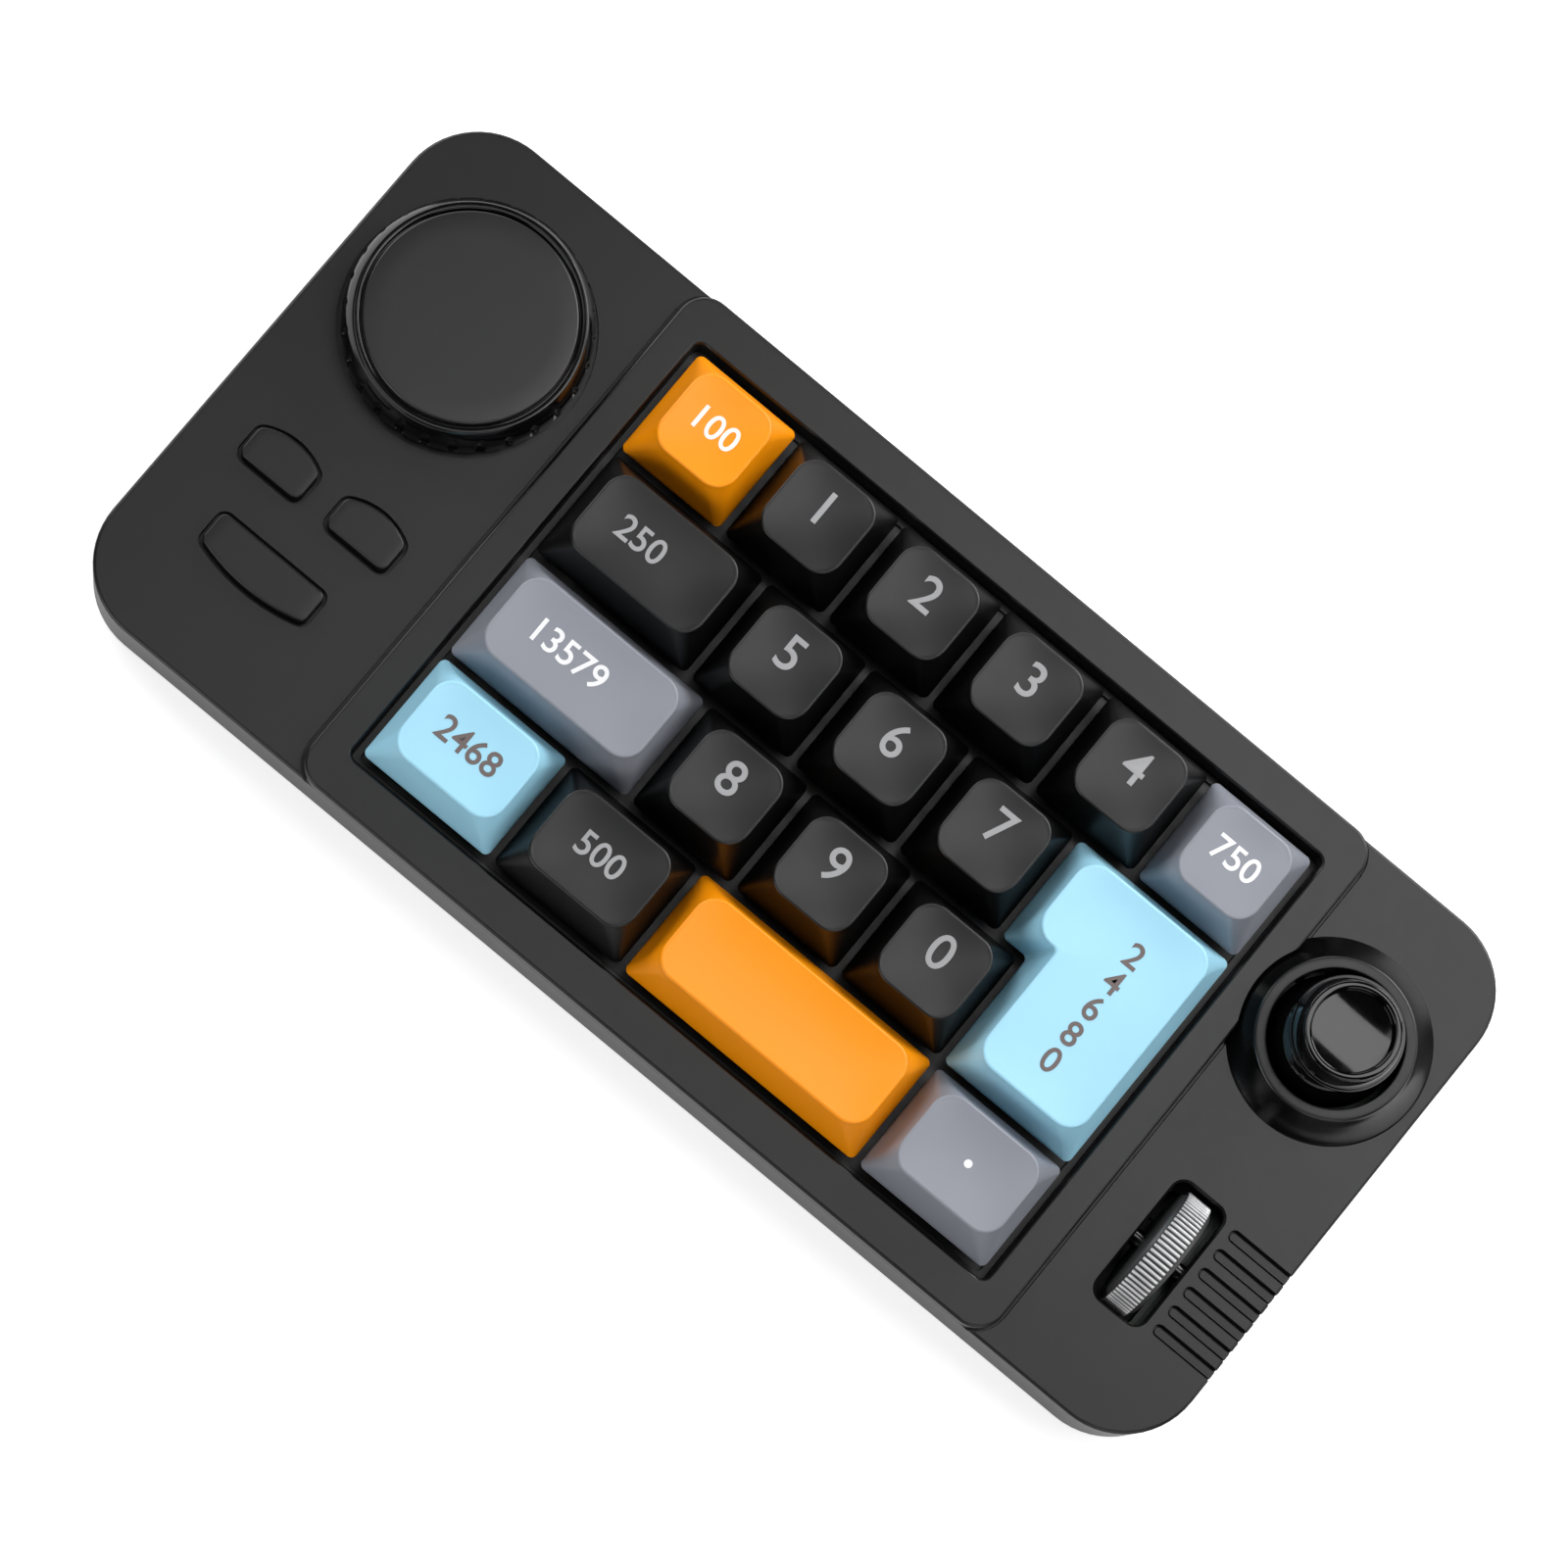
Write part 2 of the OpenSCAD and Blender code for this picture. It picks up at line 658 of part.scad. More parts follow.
dial_low = deck_z - dial_seat_depth + 0.25;
dial_top = deck_z + dial_h;
flange_top = deck_z + 0.5;
skirt_r = dial_r - 0.3;
shoulder_z = deck_z + 4.4;
ring_out_r = 16.75;
ring_in_r = 15.65;
disc_r = 15.35;
disc_recess = 1.4;
dial_floor_t = 1.5;
hub_r = 5;
shaft_r = 3;
shaft_top = dial_top - disc_recess - 1.2;

// Half section of the knob: foot flange, upright skirt, rounded shoulder, top ring, recessed
// floor for the disc, hollow below and a hub on the shaft. The shoulder's arc leaves the skirt
// upright and reaches the ring's outer edge at the top.
module dial_section() {
    rise = dial_top - shoulder_z;
    run = skirt_r - ring_out_r;
    shoulder_r = (rise * rise + run * run) / (2 * run);
    hollow_r = skirt_r - 1.4;
    ceiling = dial_top - disc_recess - dial_floor_t;
    hub_low = deck_z + 1.5;
    difference() {
        union() {
            translate([0, dial_low]) square([dial_r, flange_top - dial_low]);
            translate([0, dial_low]) square([skirt_r, shoulder_z - dial_low]);
            intersection() {
                translate([0, shoulder_z - eps]) square([skirt_r, rise + eps]);
                translate([skirt_r - shoulder_r, shoulder_z]) circle(shoulder_r, $fn = 180);
            }
            translate([0, shoulder_z - eps]) square([skirt_r - shoulder_r + eps, rise + eps]);
        }
        translate([-1, dial_top - disc_recess]) square([ring_in_r + 1, disc_recess + 1]);
        translate([-1, dial_low - 1]) square([hollow_r + 1, ceiling - dial_low + 1]);
    }
    translate([0, hub_low]) square([hub_r, ceiling - hub_low + eps]);
}

// Dial: turned body with notches cut round the skirt
module dial_knob() {
    notch_r = 0.75;
    color([0.1, 0.1, 0.1]) translate([dial_pos.x, dial_pos.y, 0]) difference() {
        rotate_extrude($fn = 180) dial_section();
        for (k = [0:dial_notches - 1]) rotate([0, 0, 360 * (k + 0.5) / dial_notches])
            translate([skirt_r + notch_r - notch_depth, 0, flange_top + 0.2])
                cylinder(h = dial_h, r = notch_r, $fn = 24);
        translate([0, 0, deck_z]) cylinder(h = shaft_top - deck_z, r = shaft_r + 0.02);
    }
}

// Flat disc let into the top of the dial
module dial_disc() {
    proud = 0.2;
    color([0.24, 0.24, 0.24]) translate([dial_pos.x, dial_pos.y, dial_top - disc_recess])
        rotate_extrude($fn = 180) difference() {
            square([disc_r, disc_recess + proud]);
            translate([disc_r - 0.3, disc_recess + proud - 0.3]) difference() {
                square(1);
                circle(0.3);
            }
        }
}

// Shaft that carries the dial and turns in the encoder's bush
module dial_shaft() {
    color("silver") translate([dial_pos.x, dial_pos.y, pcb_top + 2])
        cylinder(h = shaft_top - pcb_top - 2, r = shaft_r);
}

bush_top = deck_z + 0.9;
bush_r = 3.5;

// Encoder body and threaded bush
module dial_encoder() {
    color("darkslategray") translate([dial_pos.x, dial_pos.y, 0]) difference() {
        union() {
            translate([-6.2, -6.6, pcb_top]) cube([12.4, 13.2, 5]);
            translate([0, 0, pcb_top]) cylinder(h = bush_top - pcb_top, r = bush_r);
        }
        translate([0, 0, pcb_top + 1.9]) cylinder(h = 20, r = shaft_r + 0.06);
    }
}

// Nut that clamps the bush to the deck, hidden in the hollow dial
module dial_nut() {
    color("goldenrod") translate([dial_pos.x, dial_pos.y, deck_z - dial_seat_depth])
        difference() {
            cylinder(h = 1.1, r = 5.6, $fn = 6);
            translate([0, 0, -1]) cylinder(h = 4, r = bush_r);
        }
}

// ---- Buttons ----

tact_top = pcb_top + 3.8;
button_top = deck_z + button_h;
button_flange_t = 1;

// Button body: cap through the deck, a retaining flange below it and a stem down to its switch
module button_stack(stem_x) {
    flange_z = inner_z - 0.2 - button_flange_t;
    translate([0, 0, inner_z - 0.3]) linear_extrude(button_top - inner_z + 0.3) children(0);
    translate([0, 0, flange_z]) linear_extrude(button_flange_t) children(1);
    for (x = stem_x) translate([x, 0, tact_top + button_travel + 0.1])
        cylinder(h = flange_z - tact_top - button_travel - 0.1 + eps, r = 1.6);
}

module small_button(p) {
    color([0.24, 0.24, 0.24]) translate([p.x, p.y, 0]) button_stack([0]) {
        small_outline(-button_gap);
        small_outline(0.5);
    }
}

module button_left() {
    small_button(button_left_pos);
}

module button_right() {
    small_button(button_right_pos);
}

module button_wide() {
    color([0.24, 0.24, 0.24]) translate([button_wide_pos.x, button_wide_pos.y, 0])
        button_stack([0]) {
            wide_outline(-button_gap);
            wide_outline(0.5);
        }
}

// The three push switches under the buttons
module button_switches() {
    color([0.15, 0.15, 0.15])
        for (p = [button_left_pos, button_right_pos, button_wide_pos]) translate([p.x, p.y, 0]) {
            translate([-3, -3, pcb_top]) cube([6, 6, 3.2]);
            translate([0, 0, pcb_top]) cylinder(h = tact_top - pcb_top, r = 1.7);
        }
}

// ---- Thumb stick ----

collar_top_r = 11.75;
pin_r = 0.9;
gimbal_out = 6.5;
gimbal_in = 4.4;
gimbal_half_t = 1.2;
hub_ball_r = 3.3;
stem_r = 2;
stick_stem_top = 29;

// Raised cone round the stick with a flat rim whose outer edge is bevelled
module stick_collar() {
    lip = 0.2;
    bevel_w = 0.75;
    bevel_h = 0.25;
    color([0.12, 0.12, 0.12]) translate([stick_pos.x, stick_pos.y, deck_z])
        rotate_extrude($fn = 180) polygon([
            [collar_hole_r, 0], [collar_r, 0], [collar_top_r, collar_h - bevel_h],
            [collar_top_r - bevel_w, collar_h], [collar_hole_r + lip, collar_h],
            [collar_hole_r, collar_h - lip]
        ]);
}

// Half section of the stick's cap: bell about the pivot, waist, mushroom head with a dished top
module stick_cap_section() {
    bell_t = 0.9;
    bell_low = 1.5;
    waist_r = 4.3;
    head_low = 12.4;
    head_r = 8.25;
    fillet_r = 3.4;
    head_edge_r = 0.7;
    rim_out = 7;
    rim_h = 18.4;
    dish_r = 5.9;
    dish_h = 16.3;
    flank_arc_r = 5.6;
    rim_bead_r = (rim_out - dish_r) / 2;
    bell_ceiling = 8.2;
    big = 20;
    difference() {
        union() {
            intersection() {
                circle(bell_r, $fn = 180);
                translate([0, bell_low]) square([bell_r + 1, bell_r]);
            }
            square([waist_r, head_low + 1]);
            intersection() {
                translate([waist_r + fillet_r, bell_r + 0.5]) difference() {
                    translate([-fillet_r - waist_r, -2.4]) square([waist_r + fillet_r, 5]);
                    circle(fillet_r);
                }
                translate([0, 5]) square([head_r, head_low]);
            }
            translate([0, head_low]) square([head_r - head_edge_r + 0.1, 2 * head_edge_r]);
            translate([head_r - head_edge_r, head_low + head_edge_r]) circle(head_edge_r);
            difference() {
                polygon([[0, head_low + head_edge_r], [head_r - 0.15, head_low + 1.1],
                         [rim_out + 0.05, rim_h - 0.6], [0, rim_h - 0.6]]);
                translate([head_r - 0.4 + flank_arc_r, rim_h - 2.4]) circle(flank_arc_r);
            }
            translate([rim_out - rim_bead_r, rim_h - rim_bead_r]) circle(rim_bead_r);
        }
        translate([-1, dish_h]) square([dish_r + 1, 5]);
        intersection() {
            circle(bell_r - bell_t, $fn = 180);
            translate([-big, -big]) square([2 * big, big + bell_ceiling]);
        }
        translate([-big, -big]) square([big, 3 * big]);
        translate([-1, 0]) square([stem_r + 1.05, stick_stem_top - pivot_z]);
    }
}

module stick_cap() {
    color([0.1, 0.1, 0.1]) translate([stick_pos.x, stick_pos.y, pivot_z])
        rotate_extrude($fn = 120) stick_cap_section();
}

// Post with its cross pins, turning in the gimbal ring about Y
module stick_post() {
    color("silver") translate([stick_pos.x, stick_pos.y, pivot_z]) {
        cylinder(h = stick_stem_top - pivot_z, r = stem_r);
        sphere(hub_ball_r);
        rotate([90, 0, 0]) cylinder(h = 2 * gimbal_out - 1, r = pin_r, center = true);
    }
}

// Gimbal ring, turning in the housing about X
module stick_gimbal() {
    color("gray") translate([stick_pos.x, stick_pos.y, pivot_z]) difference() {
        union() {
            translate([0, 0, -gimbal_half_t]) cylinder(h = 2 * gimbal_half_t, r = gimbal_out);
            rotate([0, 90, 0]) cylinder(h = 16, r = pin_r, center = true);
        }
        translate([0, 0, -5]) cylinder(h = 10, r = gimbal_in);
        rotate([90, 0, 0]) cylinder(h = 20, r = pin_r + 0.05, center = true);
    }
}

// Stick module base on the board, with two ears for the gimbal's pins
module stick_housing() {
    low_top = 10.5;
    ear_in = 6.9;
    ear_out = 8.2;
    pot_h = 3.2;
    color([0.15, 0.15, 0.15]) translate([stick_pos.x, stick_pos.y, 0]) {
        difference() {
            union() {
                translate([-8, -8, pcb_top]) cube([16, 16, low_top - pcb_top]);
                for (s = [0, 180]) rotate([0, 0, s]) translate([ear_in, -1.5, low_top - eps])
                    cube([ear_out - ear_in, 3, pivot_z + 1.3 - low_top]);
            }
            translate([0, 0, pivot_z]) rotate([0, 90, 0])
                cylinder(h = 20, r = pin_r + 0.05, center = true);
            translate([0, 0, pcb_top + 1]) cylinder(h = low_top, r = 5);
        }
        translate([-4.5, -14.4, pcb_top]) cube([9, 6.4, pot_h]);
        translate([-13.6, -4.5, pcb_top]) cube([5.6, 9, pot_h]);
    }
}

// ---- Scroll wheel ----

rib_depth = 0.35;
axle_r = 1;
holder_t = 1.2;
holder_low = pcb_top;

// Ribbed band: a square-toothed outline with one tooth per rib
module ribbed_band() {
    tooth = 360 / wheel_ribs;
    land = 0.55;
    linear_extrude(wheel_band, center = true) polygon([
        for (k = [0:wheel_ribs - 1]) for (q = [[0, 0], [0.04, 1], [land - 0.04, 1], [land, 0]])
            let (a = tooth * (k + q[0]), r = wheel_r - rib_depth * (1 - q[1]))
                [r * cos(a), r * sin(a)]
    ]);
}

// Wheel with bevelled rims beside the ribbed band and a web on a hub
module scroll_wheel() {
    half = wheel_wid / 2;
    band = wheel_band / 2;
    rim = wheel_r - rib_depth;
    color("silver") translate([wheel_pos.x, wheel_pos.y, wheel_z]) rotate([0, 90, 0]) difference() {
        union() {
            ribbed_band();
            rotate_extrude() polygon([
                [0, -half], [rim - 1, -half], [rim - 0.3, -half + 0.25], [rim, -band],
                [rim, band], [rim - 0.3, half - 0.25], [rim - 1, half], [0, half]
            ]);
        }
        for (s = [0, 1]) mirror([0, 0, s]) translate([0, 0, half - 1]) difference() {
            cylinder(h = 2, r = rim - 2);
            translate([0, 0, -1]) cylinder(h = 4, r = 2.6);
        }
        cylinder(h = 20, r = axle_r, center = true);
    }
}

module wheel_axle() {
    length = slot_x + 2 * holder_t + 3;
    color("silver") translate([wheel_pos.x, wheel_pos.y, wheel_z]) rotate([0, 90, 0])
        translate([0, 0, -length / 2 + 0.5]) cylinder(h = length, r = axle_r);
}

// Well round the wheel, closed up to the deck's slot, with a bearing boss for the axle on each
// side of the wheel
module wheel_holder() {
    boss_in = wheel_wid / 2 + 0.25;
    bearing_r = 1.4;
    color([0.1, 0.1, 0.1]) translate([wheel_pos.x, wheel_pos.y, 0]) difference() {
        union() {
            difference() {
                translate([0, 0, holder_low]) rounded_block(slot_x + 2 * holder_t,
                    slot_y + 2 * holder_t, inner_z - holder_low, slot_r + holder_t);
                translate([0, 0, holder_low - 1]) rounded_block(slot_x, slot_y, 20, slot_r);
            }
            for (s = [0, 180]) translate([0, 0, wheel_z]) rotate([0, 0, s]) rotate([0, 90, 0])
                translate([0, 0, boss_in])
                    cylinder(h = slot_x / 2 - boss_in + 0.5, r = bearing_r);
        }
        translate([0, 0, wheel_z]) rotate([0, 90, 0])
            cylinder(h = 40, r = axle_r + 0.05, center = true);
    }
}

// Encoder block that the axle's right end turns in
module wheel_encoder() {
    x0 = wheel_pos.x + slot_x / 2 + holder_t + 0.1;
    color("darkslategray") difference() {
        translate([x0, wheel_pos.y - 4.5, pcb_top]) cube([3.6, 9, inner_z - pcb_top - 0.3]);
        translate([x0 - 1, wheel_pos.y, wheel_z]) rotate([0, 90, 0])
            cylinder(h = 4, r = axle_r + 0.05);
    }
}

// ---- Assembly ----

top_cover();
bottom_cover();
key_frame();
switch_plate();
main_pcb();
board_chips();
usb_socket();
switch_housings();
stabiliser_housings();
case_screws();
plate_screws();
rubber_feet();
dial_knob();
dial_disc();
dial_shaft();
dial_encoder();
dial_nut();
button_left();
button_right();
button_wide();
button_switches();
stick_collar();
stick_cap();
stick_post();
stick_gimbal();
stick_housing();
scroll_wheel();
wheel_axle();
wheel_holder();
wheel_encoder();
for (r = [0:len(ROWS) - 1]) for (c = [0:len(ROWS[r]) - 1])
    keycap(r, c);
keycap_enter();
keycap_enter_step();
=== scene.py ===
import math

import bmesh
import bpy
import numpy as np
from mathutils import Matrix, Vector


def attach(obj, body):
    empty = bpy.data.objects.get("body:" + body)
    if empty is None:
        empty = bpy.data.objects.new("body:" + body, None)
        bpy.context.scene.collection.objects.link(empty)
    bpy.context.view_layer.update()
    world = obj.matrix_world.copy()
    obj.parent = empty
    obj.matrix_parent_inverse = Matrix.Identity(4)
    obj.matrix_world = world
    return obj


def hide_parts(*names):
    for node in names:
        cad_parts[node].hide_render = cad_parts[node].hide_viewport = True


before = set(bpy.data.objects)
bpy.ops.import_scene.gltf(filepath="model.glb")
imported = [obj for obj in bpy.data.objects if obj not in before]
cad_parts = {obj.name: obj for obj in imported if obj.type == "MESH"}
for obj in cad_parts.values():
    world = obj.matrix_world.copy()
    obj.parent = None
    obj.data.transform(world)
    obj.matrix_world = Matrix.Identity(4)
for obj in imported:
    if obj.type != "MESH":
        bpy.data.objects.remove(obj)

MM = 0.001
TAU = 2 * math.pi
MERGE = 0.001 * MM


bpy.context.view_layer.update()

# ---------------------------------------------------------------- measures, in mm
DECK = 15.2                 # top of the wings
FRAME_TOP = 17.3
KEY_X = 7.2                 # middle of the key block
BLOCK_UNITS = 6
WIDE_UNITS = 1.4            # keys over this carry their word further left
PITCH = 19.05
CAP_GAP = 0.95
CAP_BASE = 18.1             # front to back at the foot
CAP_H = 8.6
CAP_Z = 17.2
CAP_TOP = CAP_Z + CAP_H
CAP_INSET = 2.22            # of the rim, from the foot
CAP_RIM = 0.35
CAP_FOOT_R = 1
CAP_UNDER_INSET = 0.12      # of the flat under the foot
CAP_UNDER_R = 0.9
CAP_TOP_R = 3.5
CAP_DISH = 0.4
DISH_RUN = 6.4
CAP_WALL = 1.4
CAP_CHAMFER = 0.1
INNER_CORNER_R = 0.9
HOLLOW_DEPTH = 6.5
HOLLOW_TAPER = 1.75
HOLLOW_R = 0.6
ENTER_UNITS = 1.25
ENTER_MIDDLE = (1, 6)       # where the tall cap's rings close, from its centre
DIAL = (-77.1, 19.2)
STICK = (82.0, 19.45)
WHEEL = (82.0, -19.55)
WHEEL_Z = 11.75
PIVOT_Z = 14.5
# Posts under the caps: half width or radius, low end, high end
SLIDER = (3.4, 11.0, 17.6)
SLIDER_CORNER_R = 0.3
POST = (2.8, 17.5, 24.2)
SIDE_POST = (2.4, 12.4, 24.2)
SIDE_POST_AWAY = 11.94

ROWS = ((1, 1, 1, 1, 1, 1), (1.5, 1, 1, 1), (1.75, 1, 1, 1), (1.25, 1.25, 2.25, 1.25))
KEY_FINISH = (
    ("key_orange", "key_dark", "key_dark", "key_dark", "key_dark", "key_grey"),
    ("key_dark", "key_dark", "key_dark", "key_dark"),
    ("key_grey", "key_dark", "key_dark", "key_dark"),
    ("key_blue", "key_dark", "key_orange", "key_grey"),
)
# What each key carries: plain numbers, a dot, or nothing
KEY_MARKS = (
    ("100", "1", "2", "3", "4", "750"),
    ("250", "5", "6", "7"),
    ("13579", "8", "9", "0"),
    ("2468", "500", "", "dot"),
)
ENTER_MARK = "24680"
# Sizes of the numbers, and their middles from the cap's centre
DIGIT_SIZE, DIGIT_AT = 7.5, (-0.2, 1.2)
WORD_SIZE, WORD_AT, WIDE_WORD_AT = 5.3, (-0.2, 0.2), (-2.7, 0.2)
ENTER_WORD_AT, ENTER_LINE_PITCH = (-0.2, -0.6), 0.89
MARK_LIFT = 0.02
MARK_EXTRUDE = 0.05
MARK_BOLD = 0.06
MARK_SQUEEZE = 0.6
MARK_MERGE = 1e-5
DOT_R, DOT_SUNK, DOT_LIFT = 0.62, 0.1, 0.03


def key_centre(r, c):
    """Centre of key c of row r: the units before it, plus half its own, times the pitch."""
    before = sum(ROWS[r][:c]) + ROWS[r][c] / 2 - BLOCK_UNITS / 2
    return KEY_X + PITCH * before, PITCH * (1.5 - r)


ENTER = (KEY_X + PITCH * (BLOCK_UNITS - ENTER_UNITS) / 2, 0.0)


# ---------------------------------------------------------------- node materials
def feed(tree, socket, source):
    """Joins a socket to another one, or gives it a plain value."""
    if isinstance(source, bpy.types.NodeSocket):
        tree.links.new(source, socket)
    else:
        socket.default_value = source


def add_node(tree, kind, links=(), **values):
    """One shader node; values set its properties or sockets by name, links join its sockets."""
    made = tree.nodes.new(kind)
    for key, value in values.items():
        if hasattr(made, key):
            setattr(made, key, value)
        else:
            made.inputs[key.replace("_", " ")].default_value = value
    for socket, source in links:
        tree.links.new(source, made.inputs[socket])
    return made


def maths(tree, operation, *sides, kind="ShaderNodeMath"):
    """Outputs of a maths node whose sides are sockets or plain values."""
    made = add_node(tree, kind, operation=operation)
    for socket, side in zip(made.inputs, sides):
        feed(tree, socket, side)
    return made.outputs


def shaded(colour, factor=1):
    """A colour times a factor, held between 0 and 1, with its alpha."""
    return (*(min(max(v * factor, 0.0), 1.0) for v in colour), 1.0)


def blend_colour(tree, factor, dark, light):
    """A colour that runs from dark to light with the factor."""
    mix = add_node(tree, "ShaderNodeMix", data_type="RGBA")
    for socket, source in ((0, factor), (6, dark), (7, light)):
        feed(tree, mix.inputs[socket], source)
    return mix.outputs[2]


def ranged(tree, source, low, high, start=0.3, end=0.7):
    """A value that runs from low to high while the source, mostly a noise, runs from start to
    end."""
    made = add_node(tree, "ShaderNodeMapRange", [("Value", source)], From_Min=start, From_Max=end,
                    To_Min=low, To_Max=high)
    return made.outputs["Result"]


# Distance from the wheel's axis where the painted shade in its grooves ends and the colour of its
# ribs begins
GROOVE_SHADE_END, RIB_COLOUR_START = 9.62, 9.8
SATIN_BLEND = 0.1
PATCH_SCALE, CLOUD_SCALE = 90.0, 420.0
BUMP_DEPTH = 0.02


def wheel_distance(tree, place):
    """Distance of a place from the scroll wheel's axis, which runs along X."""
    kind = "ShaderNodeVectorMath"
    centre = (WHEEL[0] * MM, WHEEL[1] * MM, WHEEL_Z * MM)
    off = maths(tree, "SUBTRACT", place, centre, kind=kind)[0]
    flat = maths(tree, "MULTIPLY", off, (0, 1, 1), kind=kind)[0]
    return maths(tree, "LENGTH", flat, kind=kind)["Value"]


def moulded(name, colour, rough, specular, grain, grain_size, mottle, spread=0.05, metallic=0.0,
            brushed=None, grooves=None, satin_above=None):
    """A moulded or machined finish. Colour wanders softly by mottle, roughness by spread over
    patches of some millimetres, and a fine noise of grain_size mm lifts the surface by grain.
    brushed stretches the fine noise along one axis. grooves is painted shade: a darker colour laid
    where the place is closer to the scroll wheel's axis than its ribs' feet. satin_above is a
    height in mm and the roughness above it."""
    mat = bpy.data.materials.new(name)
    mat.use_nodes = True
    tree = mat.node_tree
    shader = tree.nodes["Principled BSDF"]
    at = add_node(tree, "ShaderNodeTexCoord").outputs["Object"]
    patch = add_node(tree, "ShaderNodeTexNoise", [("Vector", at)], Scale=PATCH_SCALE, Detail=4.0)
    cloud = add_node(tree, "ShaderNodeTexNoise", [("Vector", at)], Scale=CLOUD_SCALE, Detail=3.0)
    fine_at = at
    if brushed:
        stretch = add_node(tree, "ShaderNodeMapping", [("Vector", at)], Scale=brushed)
        fine_at = stretch.outputs["Vector"]
    fine = add_node(tree, "ShaderNodeTexNoise", [("Vector", fine_at)],
                    Scale=1 / (grain_size * MM), Detail=2.0)
    tint = blend_colour(tree, ranged(tree, patch.outputs["Fac"], 0, 1),
                        shaded(colour, 1 - mottle), shaded(colour, 1 + mottle))
    # Painted shade: closer to the wheel's axis than the ribs' feet, the colour fades to the dark
    # grey given as grooves
    if grooves:
        rib_unshaded = ranged(tree, wheel_distance(tree, at), 0, 1,
                     GROOVE_SHADE_END * MM, RIB_COLOUR_START * MM)
        tint = blend_colour(tree, rib_unshaded, shaded(grooves), tint)
    tree.links.new(tint, shader.inputs["Base Color"])
    roughness = ranged(tree, cloud.outputs["Fac"], rough - spread, rough + spread)
    if satin_above:
        height = add_node(tree, "ShaderNodeSeparateXYZ", [("Vector", at)]).outputs["Z"]
        low = satin_above[0] * MM
        upper = ranged(tree, height, 0, satin_above[1] - rough, low, low + SATIN_BLEND * MM)
        roughness = maths(tree, "ADD", roughness, upper)[0]
    tree.links.new(roughness, shader.inputs["Roughness"])
    bump = add_node(tree, "ShaderNodeBump", [("Height", fine.outputs["Fac"])],
                    Strength=grain, Distance=BUMP_DEPTH * MM)
    tree.links.new(bump.outputs["Normal"], shader.inputs["Normal"])
    shader.inputs["Specular IOR Level"].default_value = specular
    shader.inputs["Metallic"].default_value = metallic
    return mat


def grey(v):
    """A neutral colour."""
    return (v, v, v)


# Colour, roughness, specular level, grain, grain size in mm, mottle and spread of each finish
SHELL_BLACK = (grey(0.003), 0.36, 0.5, 0.18, 0.22, 0.1, 0.01)
FINISH_VALUES = {
    "case_black": SHELL_BLACK,
    "case_under": (grey(0.006), 0.55, 0.45, 0.3, 0.3, 0.1, 0.02),
    "frame_black": SHELL_BLACK,
    "button_black": SHELL_BLACK,
    "dial_gloss": (grey(0.002), 0.14, 0.5, 0.03, 0.4, 0.1, 0.02),
    "dial_matte": (grey(0.003), 0.36, 0.62, 0.14, 0.2, 0.1, 0.01),
    "stick_gloss": (grey(0.002), 0.07, 0.5, 0.02, 0.4, 0.1, 0.02),
    "well_gloss": (grey(0.002), 0.16, 0.5, 0.02, 0.4, 0.1, 0.02),
    "wheel_metal": ((0.62, 0.62, 0.63), 0.42, 0.5, 0.03, 0.2, 0.03, 0.03),
    "collar_black": (grey(0.002), 0.17, 0.5, 0.06, 0.3, 0.1, 0.02),
    "key_orange": ((0.98, 0.31, 0.001), 0.36, 0.4, 0.12, 0.2, 0.02, 0.01),
    "key_blue": ((0.365, 0.71, 0.89), 0.36, 0.5, 0.12, 0.2, 0.02, 0.01),
    "key_grey": ((0.25, 0.263, 0.303), 0.36, 0.5, 0.12, 0.2, 0.02, 0.01),
    "key_dark": (grey(0.002), 0.36, 0.5, 0.14, 0.2, 0.1, 0.01),
    "plate_steel": (grey(0.05), 0.4, 0.5, 0.2, 0.3, 0.1, 0.05),
    "board": ((0.01, 0.05, 0.02), 0.35, 0.5, 0.1, 0.4, 0.1, 0.05),
    "chip": ((0.015, 0.015, 0.016), 0.5, 0.5, 0.2, 0.2, 0.1, 0.05),
    "switch_black": (grey(0.012), 0.4, 0.5, 0.1, 0.3, 0.1, 0.05),
    "steel": ((0.6, 0.6, 0.61), 0.28, 0.5, 0.1, 0.2, 0.05, 0.06),
    "screw_black": ((0.05, 0.05, 0.055), 0.35, 0.5, 0.1, 0.2, 0.1, 0.06),
    "brass": ((0.7, 0.48, 0.2), 0.3, 0.5, 0.1, 0.2, 0.06, 0.06),
    "foot_rubber": (grey(0.014), 0.8, 0.3, 0.4, 0.4, 0.15, 0.05),
}
FINISH_EXTRAS = {
    # The wheel's metal carries painted shade in its grooves, a dark grey under the ribs' own colour
    "wheel_metal": {"metallic": 0.55, "brushed": (0.25, 1.0, 1.0), "grooves": grey(0.09)},
    "collar_black": {"satin_above": (19.85, 0.36)},
    "steel": {"metallic": 1.0, "brushed": (1.0, 1.0, 0.2)},
    "screw_black": {"metallic": 0.8},
    "brass": {"metallic": 1.0},
}
FINISH = {name: moulded(name, *values, **FINISH_EXTRAS.get(name, {}))
          for name, values in FINISH_VALUES.items()}
# Ink on each key finish: its name, colour and mottle
INKS = {
    "key_orange": ("ink_white_warm", (0.9, 0.88, 0.84), 0.03),
    "key_grey": ("ink_white", (0.88, 0.88, 0.9), 0.03),
    "key_dark": ("ink_grey", (0.36, 0.36, 0.37), 0.05),
    "key_blue": ("ink_brown", (0.16, 0.13, 0.125), 0.05),
}
MARK_INK = {key: moulded(name, colour, 0.5, 0.3, 0.1, 0.2, mottle)
            for key, (name, colour, mottle) in INKS.items()}


# ---------------------------------------------------------------- meshes from arrays
def skin(rows, cols):
    """Quads of a grid of rows by cols points whose last column joins its first."""
    i = np.arange(rows - 1)[:, None] * cols
    j = np.arange(cols)[None, :]
    k = (j + 1) % cols
    return np.stack([i + j, i + k, i + cols + k, i + cols + j], -1).reshape(-1, 4)


